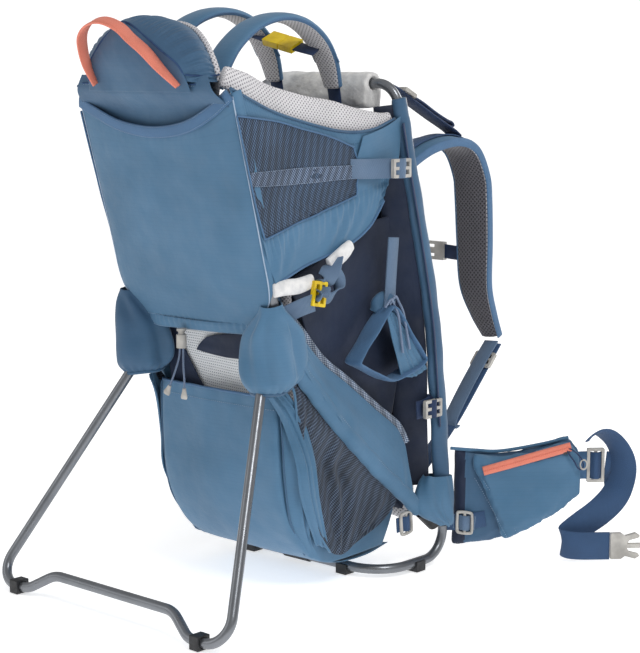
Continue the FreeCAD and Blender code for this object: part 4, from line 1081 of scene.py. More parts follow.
def grab_handle():
    """Flat coral webbing that flops over, stitched along both edges."""
    way = np.array((-0.2, 0.92, 0.34))
    loop = band("handle_webbing", HANDLE, tuple(way), [12, 18, 20, 20, 20, 20, 20, 20, 19, 16, 12], 2.4,
                [CORAL_WEBBING], samples=90)
    placed(loop, ROOT, "coral_webbing", "grab_handle")
    edge = spread(HANDLE, 140)[10:-10]
    lift = np.array((0, -0.34, 0.92)) * 1.5
    rows = [edge + way * 6.6 + lift, edge - way * 6.6 + lift]
    placed(stitches("handle_stitches", rows, CORAL_WEBBING, thick=0.5), ROOT, "coral_webbing")


# ---- cockpit sides ----------------------------------------------------------------------


def hoop_depth(z):
    return HOOP_KNEE[1] - math.tan(HOOP_TILT) * (z - HOOP_KNEE[2])


def side_x(y, z, lift=0.0):
    """Where the side wall stands: over the hoop's tube at the rear, in at the front."""
    past_hoop = fade(y - hoop_depth(z), 14, 60)
    return 136.4 - 3.6 * past_hoop - 3.0 * fade(y, -10, 48) + lift


def side_net(rows, side, lift=0.0):
    """A net from (y, z) pairs, rear to front; its outer face is away from the carrier."""
    return on_side([[(side_x(y, z, lift), y, z) for y, z in row] for row in rows], side)


SIDE_ROWS = [
    [(-184, 402), (-160, 411), (-124, 422), (-80, 432), (-40, 444), (-4, 466), (18, 494)],
    [(-196, 430), (-165, 438), (-126, 446), (-82, 454), (-38, 466), (2, 484), (24, 506)],
    [(-209, 465), (-170, 471), (-128, 480), (-84, 488), (-36, 500), (8, 510), (30, 520)],
    [(-223, 515), (-178, 518), (-132, 520), (-86, 522), (-36, 528), (10, 536), (40, 540)],
    [(-240, 570), (-190, 566), (-140, 560), (-90, 554), (-36, 552), (10, 558), (47, 564)],
    [(-257, 638), (-222, 624), (-176, 608), (-120, 594), (-60, 583), (-6, 583), (44, 596)],
]
WINDOW_ROWS = [
    [(-205, 460), (-175, 468), (-144, 476), (-117, 482), (-91, 489), (-62, 496), (-37, 503)],
    [(-219, 500), (-186, 503), (-152, 507), (-122, 510), (-93, 514), (-63, 518), (-35, 521)],
    [(-231, 541), (-192, 542), (-157, 542), (-125, 542), (-94, 542), (-63, 541), (-33, 541)],
    [(-250, 606), (-212, 602), (-173, 597), (-140, 589), (-106, 582), (-72, 573), (-42, 563)],
]


def cockpit_side(side):
    which = SIDES[side]

    def relief(u, v):
        u = as_drawn(u, side)
        window_foot = 0.40 + 0.02 * u
        near = fade(v, window_foot - 0.26, window_foot - 0.02) * fade(v, window_foot + 0.06, window_foot)
        pleats = gathers(u, 27, 0.4) * 1.5 * near
        long_folds = gathers(u - 0.35 * v, 8, 2.0) * 1.9 * fade(v, 0.02, 0.16) * fade(v, 0.42, 0.3)
        front = gathers(v + 0.5 * u, 9, 1.0) * 1.6 * fade(u, 0.84, 0.93) * fade(v, 0.5, 0.42)
        rim = gathers(u, 62, 2.0) * 0.5 * fade(v, 0.86, 0.94)
        return pleats + long_folds * 0.8 + front + rim + rumple(u, v, 0.8, 1.0) - 2.2 * fade(v, 0.36, 0.44)

    wall = Cloth(side_net(SIDE_ROWS, side), 110, 64, relief)
    obj = wall.build(f"cockpit_wall_{which}", FABRIC)
    sewn(obj, f"cockpit_side_{which}")
    wall.declare(obj, "stretched", ["rear_frame_tube", "main_frame_tube"])

    def window_relief(u, v):
        u = as_drawn(u, side)
        folds = gathers(u * 0.8 + v * 0.7, 7, 3.0) * 1.1 * fade(v, 0.55, 0.1) * fade(u, 0.0, 0.3)
        low = gathers(u, 27, 0.4) * 0.7 * fade(v, 0.12, 0.0)
        return folds + low + rumple(u, v, 0.9, 3.0)

    net = Cloth(side_net(WINDOW_ROWS, side, 0.9), 70, 44, window_relief)
    window = net.build(f"cockpit_window_{which}", WINDOW_MESH, 0.8, 1)
    sewn(window)
    stripe_rows = [[(-226, 523), (-182, 522), (-138, 522), (-35, 524)],
                   [(-231, 540), (-184, 541), (-138, 542), (-34, 541)]]
    stripe = Cloth(side_net(stripe_rows, side, 1.9), 60, 8, lambda u, v: 0.6 * rumple(u, v, 0.9, 3.0))
    sewn(stripe.build(f"window_stripe_{which}", BAND_MESH, 0.8))
    corners = [(0.0, 0.0), (1.0, 0.0), (1.0, 1.0), (0.0, 1.0), (0.0, 0.0)]
    for number, (start, end) in enumerate(zip(corners, corners[1:])):
        line = net.run(start, end, 14, 0.5)
        edge = piping(f"window_edge_{which}_{number}", line, BINDING, 2.2)
        sewn(edge)
    rows = [stripe.run((0.02, v), (0.98, v), 60, 0.9) for v in (0.04, 0.96)]
    sewn(stitches(f"window_bands_{which}", rows, THREAD, 3.0, 2.3, 0.7))
    rows = [net.run((0.02, 0.0), (0.98, 0.0), 60, 0.9)]
    lower = wall.run((0.01, 0.015), (0.99, 0.015), 50, 0.3)
    hem = piping(f"cockpit_hem_{which}", lower[::5] + [lower[-1]], BINDING, 3.2)
    sewn(hem)
    rim_low = wall.run((0.01, 0.90), (0.99, 0.90), 80, 0.8)
    rim_high = wall.run((0.01, 0.985), (0.99, 0.985), 80, 0.8)
    sewn(stitches(f"rim_stitches_{which}", rows + [rim_low, rim_high], NAVY_THREAD))
    rim = wall.run((0.0, 1.0), (1.0, 1.0), 16, 0.0)
    # painted shade: the rim piping takes the darker shaded copy of the ripstop
    sewn(piping(f"cockpit_rim_{which}", rim, SHADED_FABRIC, 3.6))


def cockpit_front(side):
    """The smooth corner patch, its webbing and the lock's loop at the front upright."""
    which = SIDES[side]
    rows = [[(-38, 527), (-8, 530), (20, 533), (48, 540)],
            [(-36, 545), (-6, 547), (22, 551), (52, 556)],
            [(-30, 562), (-4, 568), (24, 577), (53, 585)],
            [(-24, 576), (0, 581), (26, 588), (54, 600)]]
    patch = Cloth(side_net(rows, side, 1.6), 30, 26, lambda u, v: rumple(u, v, 0.6, 5.0))
    sewn(patch.build(f"corner_patch_{which}", FABRIC, 1.6))
    x = side_x(-20, 535) + 2.4
    line = flipped([(x - 4, -50, 536), (x, -40, 536), (x + 2, -15, 535), (146, 6, 535), (155.5, 15, 535),
                    (160, 24, 535), (155.5, 33, 535), (149, 42, 534)], side)
    strap = band(f"cockpit_strap_{which}", line, (0, 0.05, 1), 25, 2.0, [GREY_WEBBING])
    placed(strap, ROOT, "grey_plastic")


COLLAR = [(114, -250, 652), (116, -222, 640), (116.5, -192, 627), (117, -150, 614), (117.5, -105, 605),
          (118, -60, 599), (119, -14, 591), (120, 24, 588), (121, 44, 592)]


def collar(side):
    """The mesh-covered padded rim. It rolls over the side wall's edge."""
    which = SIDES[side]
    line = flipped(COLLAR, side)
    way = (side * 0.16, 0, -1)
    wide = [24, 36, 39, 42, 43, 42, 38, 33, 24]
    profile = crowned(side)

    def relief(place, a, b):
        return 0.7 * np.sin(23 * place + 2 * a) * np.sin(9 * place + a)

    obj = band(f"collar_{which}", line, way, wide, 10.5, [LIGHT_MESH], profile, 70, relief=relief, smooth=1)
    placed(obj, ROOT, "light_mesh", f"cockpit_collar_{which}")


# ---- child's harness --------------------------------------------------------------------

HARNESS_LINE = [(-208, 636), (-191, 668), (-172, 690), (-140, 711), (-98, 722), (-56, 717),
                (-22, 697), (0, 668), (13, 634)]
FAR_PAD_LIFT = 8.0


def harness(side):
    """A padded shoulder strap: fabric outside, pale mesh inside, bound edges."""
    which = SIDES[side]
    lift = 0.0 if side == RIGHT else FAR_PAD_LIFT
    line = [(side * 52, y, z + lift) for y, z in HARNESS_LINE]
    slots = [0, 0, 0, 0, 0, 0, 2, 1, 1, 1, 1, 2]
    wide = [38, 42, 42, 42, 42, 42, 42, 38, 28]
    obj = band(f"harness_strap_{which}", line, (1, 0, 0), wide, 12.5, [FABRIC, LIGHT_MESH, BINDING],
               turned_over(CROWNED_PAD), 80, slots, smooth=1)
    sewn(obj, f"harness_pad_{which}")
    for edge in (-1, 1):
        rim = [(x + edge * 19.8, y, z - 1) for x, y, z in line[:-1]]
        sewn(piping(f"harness_edge_{which}_{'ab'[edge > 0]}", rim, BINDING, 2.6, 80))
    down = [(side * 51, 13, 636 + lift), (side * 50, 18, 612), (side * 46, 22, 570), (side * 34, 18, 460),
            (side * 22, 6, 360)]
    webbing(f"harness_web_{which}", down, (1, 0, 0), 21, 2.0, DARK_WEBBING, *once(side, "harness_webbing"))
    tie = [(side * x, BUCKLE[1] + y, BUCKLE[2] - BUCKLE_SLOPE * side * x)
           for x, y in ((22, 0), (34, 0.5), (44, 2), (54, 4))]
    strap = band(f"chest_web_{which}", tie, (0, 0.88, 0.47), 19, 1.8, [DARK_WEBBING], samples=20)
    placed(strap, ROOT, "navy_webbing")


BUCKLE = (0, -26, 692)
BUCKLE_SLOPE = 0.22


# ---- hinge covers -----------------------------------------------------------------------


def hinge_cover(side):
    """A gathered sleeve round the kickstand's hinge, elastic at its foot."""
    which = SIDES[side]
    rings = [(380, 127, -178, 13, 13), (370, 126, -176, 17, 17), (357, 121, -170, 24, 28),
             (341, 115, -163, 31, 42), (318, 113, -162, 33, 46), (300, 113, -164, 33, 46),
             (286, 114, -167, 31, 42), (277, 114, -169, 25, 34), (272, 114, -170, 20, 28)]
    turns = np.linspace(0, 2 * math.pi, 13)[:-1]
    net = []
    for z, x, y, a, b in reversed(rings):
        lean = 0.18 * (z - 310)
        ring = [(side * (x + a * math.cos(t)), y - 0.25 * lean + b * math.sin(t), z + 3 * math.sin(t))
                for t in turns]
        net.append(ring if side == RIGHT else ring[::-1])

    def relief(u, v):
        around = np.sin(2 * math.pi * u * 3 + 1.0 + side)
        hem = gathers(u, 19, 1.0) * 1.6 * fade(v, 0.34, 0.12) * fade(v, 0.02, 0.1)
        folds = gathers(u + 0.15 * v, 7, 2.0) * 4.2 * fade(v, 0.08, 0.35) * fade(v, 1.0, 0.6)
        slant = np.sin(2 * math.pi * (u * 4 + v * 1.3)) * 2.4 * fade(v, 0.15, 0.4) * fade(v, 1.0, 0.75)
        return hem + folds + slant + around * 1.2 + rumple(u, v, 1.6, 2.0)

    sleeve = Cloth(net, 90, 44, relief, closed=True)
    # painted shade: the far, left sleeve takes the darker shaded copy of the ripstop, the near one the lit
    # FABRIC
    obj = sleeve.build(f"hinge_sleeve_{which}", SHADED_FABRIC if side == LEFT else FABRIC, 1.6)
    sewn(obj, f"hinge_cover_{which}")
    sleeve.declare(obj, "gathered", ["rear_frame_tube"])
    last = sleeve.points.shape[1]
    loop = [sleeve.points[1, k % last] for k in range(0, last + 1, 3)]
    # painted shade: the gathered elastic hem takes the darker shaded copy of the ripstop
    sewn(piping(f"hinge_elastic_{which}", loop, SHADED_FABRIC, 5.0))


# ---- lower sides ------------------------------------------------------------------------

STRUT = [(128, -176, 352), (129, -160, 325), (131.5, -130, 286), (134.5, -96, 245), (138, -52, 198),
         (140, -8, 157), (141.5, 40, 116), (142.5, 82, 80)]


def strut_sleeve(side):
    """The fabric tunnel that the diagonal strut runs in."""
    which = SIDES[side]

    def relief(place, a, b):
        return 0.9 * np.sin(41 * place + 3 * a) * np.sin(15 * place) + 0.5 * np.sin(90 * place + 5 * b)

    obj = band(f"strut_sleeve_{which}", flipped(STRUT, side), (1, 0, 0), 20.5,
               [24, 25, 26, 26, 25, 24, 23, 23], [FABRIC], ROUND, 90, relief=relief, smooth=1)
    sewn(obj)
    line = [(side * (x + 8.2), y + 2, z + 5.5) for x, y, z in STRUT[1:]]
    sewn(stitches(f"strut_stitches_{which}", [spread(line, 80)], THREAD))


def wing(side):
    """The panel from the strut up to its bound front edge."""
    which = SIDES[side]
    top = [(119, -170, 384), (121, -150, 362), (123, -124, 334), (126, -92, 298), (128, -46, 265),
           (129, 7, 225), (130, 50, 194), (132, 66, 168)]
    low = [(136, -180, 352), (140, -164, 330), (142, -136, 292), (145, -100, 250), (148, -56, 202),
           (149, -10, 160), (149, 34, 124), (148, 62, 102)]
    middle = [((a[0] + b[0]) / 2 + 1.5, (a[1] + b[1]) / 2, (a[2] + b[2]) / 2) for a, b in zip(low, top)]
    rows = on_side((low, middle, top), side)

    def relief(u, v):
        u = as_drawn(u, side)
        near_strut = gathers(u, 9, 2.0) * 1.4 * fade(v, 0.7, 0.1)
        corner = gathers(u * 0.4 + v, 5, 1.0) * 2.2 * fade(u, 0.42, 0.1)
        return near_strut * 0.7 + corner + rumple(u, v, 1.3, 1.5)

    sheet = Cloth(rows, 80, 34, relief)
    panel_of(sheet, f"side_wing_{which}", FABRIC, "stretched", "rear_frame_tube")
    edge = [(side * (x - 1.5), y + 2.5, z + 3) for x, y, z in top[1:]]
    tape = band(f"wing_binding_{which}", edge, (side * 0.35, 0.5, 0.7), 10, 2.4, [HERRINGBONE],
                CROWNED_PAD, 80)
    sewn(tape)


LINING_X = 115


def inner_side(side):
    """The navy lining beside the seat, seen through the open side."""
    which = SIDES[side]
    rows = [[(-104, 302), (-60, 268), (0, 236), (58, 206)],
            [(-112, 345), (-56, 326), (8, 312), (72, 292)],
            [(-128, 380), (-62, 378), (4, 384), (64, 388)],
            [(-150, 398), (-62, 434), (0, 462), (56, 472)]]
    net = [[(LINING_X, y, z) for y, z in row] for row in rows]
    sheet = Cloth(on_side(net, side), 40, 34, lambda u, v: rumple(u, v, 2.0, 2.2))
    obj = sheet.build(f"seat_wall_{which}", NAVY_FABRIC, 3.0)
    placed(obj, ROOT, "navy_fabric", f"seat_side_{which}")
    sheet.declare(obj, "stretched", ["seat_cushion"])


def mesh_triangle(side):
    """The stretch-mesh pocket between the strut and the bag."""
    which = SIDES[side]
    rows = [
        [(122, -72, 50), (124, -60, 44), (126, -48, 44), (127, -34, 52)],
        [(121, -112, 106), (121, -78, 92), (126, -34, 78), (133, 12, 74)],
        [(121, -124, 162), (118, -92, 142), (124, -30, 118), (137, 36, 92)],
        [(124, -132, 205), (123, -108, 184), (129, -50, 152), (139, 44, 104)],
        [(128, -142, 262), (133, -112, 228), (138, -54, 182), (140, 54, 108)],
        [(122, -152, 290), (128, -140, 276), (136, -70, 205), (140, 58, 112)],
    ]
    net = on_side(rows, side)

    def relief(u, v):
        u = as_drawn(u, side)
        folds = gathers(u - 0.12 * v, 5, 2.0) * 4.0 * fade(v, 0.0, 0.2) * fade(v, 1.0, 0.55)
        return folds + rumple(u, v, 1.0)

    sheet = Cloth(net, 80, 60, relief)
    panel_of(sheet, f"side_net_{which}", TRIANGLE_MESH, "stretched", "rear_frame_tube", thick=0.8,
             slot="navy_fabric")
    u = as_drawn(0, side)
    line = sheet.run((u, 0), (u, 1), 12)
    sewn(piping(f"net_edge_{which}", line, FABRIC, 3.4))


def corner_pouch(side):
    """The fabric boot over the joint of strut and upright."""
    which = SIDES[side]
    rings = [(122, 146, 116, 13, 25), (112, 146, 112, 15.5, 31), (96, 147, 108, 16.5, 37),
             (82, 147, 108, 16.5, 38), (68, 147, 113, 16, 32), (58, 147, 121, 14.5, 22),
             (52, 147, 124, 12, 15)]
    turns = np.linspace(0, 2 * math.pi, 13)[:-1]
    net = []
    for z, x, y, a, b in reversed(rings):
        ring = [(side * (x + a * math.cos(t)), y + b * math.sin(t), z - 3 * math.sin(t)) for t in turns]
        net.append(ring if side == RIGHT else ring[::-1])

    def relief(u, v):
        return gathers(u + 0.2 * v, 6, 1.0) * 1.8 + gathers(u, 14, 2.0) * 0.7 * fade(v, 0.3, 0.0)

    sheet = Cloth(net, 70, 34, relief, closed=True)
    panel_of(sheet, f"corner_boot_{which}", FABRIC, "stretched", "main_frame_tube", thick=1.6)


UPRIGHT = [(146, 124, 104), (146, 118, 190), (145.5, 110, 270), (143.5, 103, 340), (138.5, 88, 430),
           (132, 72, 520), (126.5, 61, 590), (124, 56, 622)]


def upright_sleeve(side):
    """Fabric laced round the upright tube, and the mesh roll along the wearer's edge."""
    which = SIDES[side]

    def relief(place, a, b):
        return 0.5 * np.sin(37 * place + 2 * a) + 0.4 * np.sin(71 * place + 3 * b)

    line = flipped(UPRIGHT, side)
    # painted shade: the upright's cover takes the darker shaded copy of the ripstop
    cover = band(f"upright_cover_{which}", line, (0, 1, 0), [30, 30, 28, 27, 26, 25, 24, 22], 18.5,
                 [SHADED_FABRIC], ROUND, 90, relief=relief, smooth=1)
    sewn(cover)
    stripe = [(side * (x + 8.4), y - 8, z) for x, y, z in UPRIGHT[1:-1]]
    webbing(f"upright_stripe_{which}", stripe, (side * -0.5, 1, 0), 9, 1.6, DARK_WEBBING, samples=70)
    roll = [(side * (x - 9), y + 15, z) for x, y, z in UPRIGHT]
    edge = band(f"mesh_roll_{which}", roll, (side * -0.5, 1, 0), 21, 15, [LIGHT_MESH], ROUND, 90, smooth=1)
    placed(edge, ROOT, "light_mesh")
    inner = [(side * 126, 88, 110), (side * 124, 84, 200), (side * 123, 82, 290), (side * 121, 66, 420),
             (side * 117, 50, 540), (side * 113, 42, 612)]
    lining = band(f"wearer_lining_{which}", inner, (side * 0.75, 0.75, 0), [44, 46, 46, 42, 36, 30], 5,
                  [NAVY_FABRIC], CROWNED_PAD, 70)
    placed(lining, ROOT, "navy_fabric")


# ---- bag and openings -------------------------------------------------------------------

BAG_PROFILE = [(62, 30), (10, 23), (-50, 27), (-92, 45), (-124, 80), (-145, 130), (-152, 190),
               (-153, 236), (-152, 258)]


def storage_bag():
    """Rear and floor of the bag, all soft, the hem round its mouth and the lining inside."""
    pinch = [0.92, 0.96, 0.98, 1.0, 1.0, 1.0, 0.99, 0.98, 0.97]
    net = []
    for (y, z), share in zip(BAG_PROFILE, pinch):
        belly = 5 if y < -60 else 0
        net.append([(x * share, y + (9 if abs(x) > 100 else 0) - belly * (1 - (x / 106) ** 2), z)
                    for x in (-107, -98, -50, 0, 50, 98, 107)])

    def relief(u, v):
        slack = 1.5 * np.sin(2 * math.pi * (u * 2.2 + 0.3)) * fade(v, 0.35, 0.6) * fade(v, 1.0, 0.8)
        mouth = gathers(u, 7, 4.0) * 1.3 * fade(v, 0.86, 1.0)
        return rumple(u, v, 1.6, 3.3) + slack + mouth

    rear_face = Cloth(net, 70, 80, relief)
    panel_of(rear_face, "bag_rear", FABRIC, "stretched", "main_frame_tube", "storage_bag")
    hem = rear_face.run((0.0, 0.905), (1.0, 0.905), 90, 0.7)
    sewn(stitches("bag_hem_stitches", [hem], THREAD, 3.6, 2.6, 0.8))
    lip = rear_face.run((0.0, 1.0), (1.0, 1.0), 24, 0.0)
    sewn(piping("bag_lip", lip, BINDING, 3.6))
    inner = [[(x, y + 7, z) for x, y, z in row] for row in net[4:]]
    lining = Cloth([row[::-1] for row in inner], 40, 24, lambda u, v: rumple(u, v, 1.0))
    placed(lining.build("bag_lining", NAVY_FABRIC), ROOT, "navy_fabric")


def bag_side(side):
    which = SIDES[side]
    rows = [
        [(99, -96, 47), (106, -84, 40), (108, -50, 30), (106, 50, 32)],
        [(106, -130, 98), (117, -112, 92), (112, -84, 80), (106, 74, 80)],
        [(108, -142, 150), (122, -120, 146), (110, -88, 136), (106, 80, 130)],
        [(108, -146, 200), (118, -130, 196), (122, -106, 182), (106, 76, 180)],
        [(106, -148, 256), (114, -140, 248), (120, -118, 232), (108, 40, 214)],
    ]
    net = on_side(rows, side)

    def relief(u, v):
        u = as_drawn(u, side)
        folds = gathers(u + 0.12 * v, 5, 3.0) * 3.0 * fade(v, 0.05, 0.3)
        return folds * fade(u, 0.02, 0.2) + rumple(u, v, 1.2, 2.0)

    sheet = Cloth(net, 70, 60, relief)
    panel_of(sheet, f"bag_gusset_{which}", FABRIC, "stretched", "main_frame_tube")
    u = as_drawn(0.02, side)
    line = sheet.run((u, 0.0), (u, 1.0), 16, 0.6)
    # painted shade: the seam piping takes the darker shaded copy of the ripstop
    sewn(piping(f"bag_seam_{which}", line, SHADED_FABRIC, 2.4))
    flap_rows = [
        [(116, -92, 62), (120, -84, 58), (119, -74, 56)],
        [(124, -128, 128), (131, -116, 126), (128, -98, 124)],
        [(122, -136, 178), (131, -124, 178), (130, -108, 178)],
        [(112, -152, 232), (122, -142, 234), (126, -128, 236)],
        [(108, -170, 262), (116, -160, 266), (122, -150, 268)],
    ]
    net = on_side(flap_rows, side)
    flap = Cloth(net, 24, 60, lambda u, v: gathers(u + 0.3 * v, 3, 1.0) * 2.2 + rumple(u, v, 1.2))
    panel_of(flap, f"bag_fold_{which}", FABRIC, "stretched", "storage_bag")


def under_seat_net():
    """The pale net over the gap between pocket and bag, with its dark triangle."""
    rows = [[(-52, -138, 252), (-10, -137, 246), (30, -136, 244), (72, -136, 246)],
            [(-72, -140, 292), (-20, -139, 290), (34, -139, 288), (82, -138, 290)],
            [(-92, -150, 338), (-26, -150, 338), (36, -150, 338), (92, -148, 338)]]
    net = Cloth(rows, 40, 30, lambda u, v: rumple(u, v, 1.6, 1.0))
    panel_of(net, "under_seat_net", PALE_NET, "stretched", "rear_frame_tube", thick=0.7, slot="light_mesh")
    shades = (
        ("under_seat_shade", [[(-92, -144, 258), (-70, -142, 256), (-32, -142, 254)],
                              [(-98, -146, 296), (-80, -144, 296), (-62, -144, 294)],
                              [(-100, -156, 340), (-88, -155, 340), (-78, -155, 340)]]),
        ("under_seat_flap", [[(-44, -146, 302), (10, -147, 298), (62, -147, 300)],
                             [(-34, -148, 312), (8, -149, 312), (60, -149, 314)],
                             [(-18, -151, 322), (6, -153, 328), (58, -152, 334)]]),
    )
    for name, net_rows in shades:
        sheet = Cloth(net_rows, 24, 20, lambda u, v: rumple(u, v, 0.8, 2.0))
        placed(sheet.build(name, NAVY_FABRIC, 1.2), ROOT, "navy_fabric")


# ---- stirrups and leg loops -------------------------------------------------------------

STIRRUP_LOOP = [(18, 360), (-14, 330), (-46, 296), (-42, 290), (-12, 276), (20, 263), (54, 269), (84, 279),
                (78, 292), (52, 324), (26, 356)]


def stirrup(side):
    """A foot loop of doubled webbing that hangs from the side, its tails tied at the top."""
    which = SIDES[side]
    body = f"foot_stirrup_{which}"
    x = side * 139
    ring = [(x, y, z) for y, z in STIRRUP_LOOP]
    line = [tuple(p) for p in ring_spread(ring, 26)]
    line.append(line[0])
    loop = band(f"stirrup_band_{which}", line, (1, 0, 0), 28, 4.5, [BINDING], CROWNED_PAD, 100,
                relief=lambda place, a, b: 0.6 * np.sin(40 * place + 3 * a), smooth=1)
    placed(loop, body, "blue_fabric", f"stirrup_{which}")
    strap = [(x, 22, 352), (x, 24, 380), (x, 27, 415), (x, 30, 446)]
    hanger = band(f"stirrup_strap_{which}", strap, (0, 1, 0), [22, 20, 20, 20], 2.4, [GREY_WEBBING])
    placed(hanger, body, "navy_webbing")
    knot = [(x + side * 9, 12, 362), (x + side * 12, 20, 372), (x + side * 9, 30, 364),
            (x + side * 12, 36, 350), (x + side * 11, 44, 326), (x + side * 10, 52, 300)]
    placed(piping(f"stirrup_tail_{which}_1", knot, CORD_PAINT, 3.2), body, "grey_cord")
    knot = [(px, py - 9 - 0.02 * (362 - pz) * 4, pz - 3) for px, py, pz in knot]
    placed(piping(f"stirrup_tail_{which}_2", knot, CORD_PAINT, 3.2), body, "grey_cord")
    rows = [[(144, 40, 264), (146, 67, 261), (145, 93, 268)],
            [(144, 28, 304), (146, 47, 303), (145, 64, 306)],
            [(143, 12, 350), (144, 20, 352), (143, 28, 349)]]
    net = on_side(rows, side)
    cuff = Cloth(net, 24, 30, lambda u, v: gathers(u + 0.2 * v, 4, 2.0) * 1.6 + rumple(u, v, 0.8))
    placed(cuff.build(f"stirrup_cuff_{which}", FABRIC, 2.0), body, "blue_fabric")
    fold = [(side * 128, 4, 352), (side * 131, 8, 362), (side * 135, 18, 368), (side * 143, 26, 362)]
    # painted shade: the gathered fold takes the darker shaded copy of the ripstop
    placed(band(f"stirrup_gather_{which}", fold, (0, 0.3, 1), [12, 18, 20, 14], 9, [SHADED_FABRIC],
                CROWNED_PAD, 40, smooth=1), body, "blue_fabric")


def leg_loop(side):
    """White padding and the webbing over it."""
    which = SIDES[side]
    x = 138
    white = flipped([(x - 3, -188, 397), (x, -170, 400), (x + 1, -148, 400), (x, -122, 404)], side)
    pad = band(f"leg_pad_rear_{which}", white, (0, -0.25, 1), [17, 20, 20, 18], 9, [PADDED_WHITE],
               crowned(side), 40, smooth=1)
    placed(pad, ROOT, "white_fleece", *once(side, "leg_loops"))
    white = flipped([(x, -92, 420), (x + 1, -78, 427), (x, -62, 435), (x - 3, -48, 442)], side)
    pad = band(f"leg_pad_front_{which}", white, (0, -0.5, 1), [19, 21, 20, 15], 9, [PADDED_WHITE],
               crowned(side), 40, smooth=1)
    placed(pad, ROOT, "white_fleece")
    web = flipped([(x + 1, -82, 428), (x + 5, -90, 420), (x + 6, -104, 405), (x + 6, -112, 396),
                   (x + 9.5, -118, 389), (x + 6, -124, 381)], side)
    webbing(f"leg_web_{which}", web, (0, 0.7, 0.7), 24, 2.2, GREY_WEBBING)
    tail = flipped([(x + 7, -92, 416), (x + 9, -84, 404), (x + 9, -86, 392), (x + 8, -98, 382),
                    (x + 6, -110, 382)], side)
    webbing(f"leg_tail_{which}", tail, (0.4, 0.4, 0.8), 16, 2.0, GREY_WEBBING)
    web = flipped([(x - 12, -168, 362), (x - 4, -158, 368), (x + 3, -144, 374), (x + 6, -126, 378)], side)
    webbing(f"leg_anchor_{which}", web, (0, -0.35, 1), 22, 2.2, GREY_WEBBING)


# ---- wearer's straps --------------------------------------------------------------------

STRAP_LINE = [(70, 80, 508), (71, 112, 530), (73, 158, 552), (75, 212, 560), (76, 250, 547),
              (78, 270, 512), (80, 273, 480), (83, 273, 420), (86, 273, 358), (90, 287, 316),
              (94, 303, 284)]


def shoulder_strap(side):
    which = SIDES[side]
    line = flipped(STRAP_LINE, side)
    wide = [52, 56, 60, 60, 60, 60, 60, 58, 52, 42, 30]
    slots = [0, 0, 0, 0, 0, 0, 2, 1, 1, 1, 1, 2]

    def relief(place, a, b):
        return 0.5 * np.sin(29 * place + 2 * a) * (1 - abs(a))

    obj = band(f"shoulder_pad_{which}", line, (1, 0, 0), wide, 16, [FABRIC, DARK_MESH, LIGHT_MESH],
               turned_over(CROWNED_PAD), 110, slots, relief, smooth=1)
    sewn(obj, f"shoulder_strap_{which}")
    for edge in (-1, 1):
        rim = [(px + edge * (w / 2 - 1.5), py, pz) for (px, py, pz), w in zip(line, wide)]
        edging = band(f"strap_edge_{which}_{'ab'[edge > 0]}", rim, (1, 0, 0), 3.2, 12, [BINDING],
                          ROUND, 100)
        sewn(edging)
    lift = [(0, -3, 8.6), (0, -2, 9.2), (0, 1, 9.4), (0, 6, 8), (0, 9, 2)]
    ladder = [tuple(np.array(p) + np.array(d)) for p, d in zip(line[1:6], lift)]
    webbing(f"strap_ladder_{which}", ladder, (1, 0, 0), 22, 1.8, NAVY_WEBBING)


def load_lifter(side):
    which = SIDES[side]
    line = flipped([(66, 70, 640), (66, 84, 640), (67, 108, 634), (70, 150, 612), (73, 188, 592),
                    (74, 222, 576), (75, 236, 567)], side)
    webbing(f"load_lifter_{which}", line, (1, 0, 0), 25, 2.2, DARK_WEBBING, *once(side, "load_lifters"))
    tail = flipped([(70, 132, 625), (71, 158, 614), (73, 184, 600), (74, 206, 590), (74, 218, 586),
                    (74, 222, 581), (74, 214, 580)], side)
    webbing(f"lifter_tail_{which}", tail, (1, 0, 0), 22, 2.2, DARK_WEBBING)


def lower_webbing(side):
    which = SIDES[side]
    line = flipped([(95, 306, 272), (95, 262, 226), (96, 206, 172), (97, 142, 122)], side)
    webbing(f"lower_webbing_{which}", line, (1, 0, 0), 25, 2.2, NAVY_WEBBING, *once(side, "lower_webbings"))
    tail = flipped([(95, 300, 276), (95.5, 276, 254), (96, 244, 222), (97, 216, 192), (97, 204, 176),
                    (97, 204, 166), (97, 212, 168)], side)
    webbing(f"lower_tail_{which}", tail, (1, 0, 0.1), 24, 2.2, GREY_WEBBING)


def sternum_strap():
    for side in (RIGHT, LEFT):
        line = flipped([(21, 284.5, 400), (44, 284.0, 399), (66, 284.5, 400), (96, 285, 400)], side)
        web = band(f"sternum_web_{SIDES[side]}", line, (0, 0, 1), 20, 2.0, [DARK_WEBBING])
        placed(web, "sternum_strap", "navy_webbing", *once(side, "sternum_webbing"))


# ---- hip belt ---------------------------------------------------------------------------


def fin_line(side, pairs, out):
    return [fin_point(side, along, out, z) for along, z in pairs]


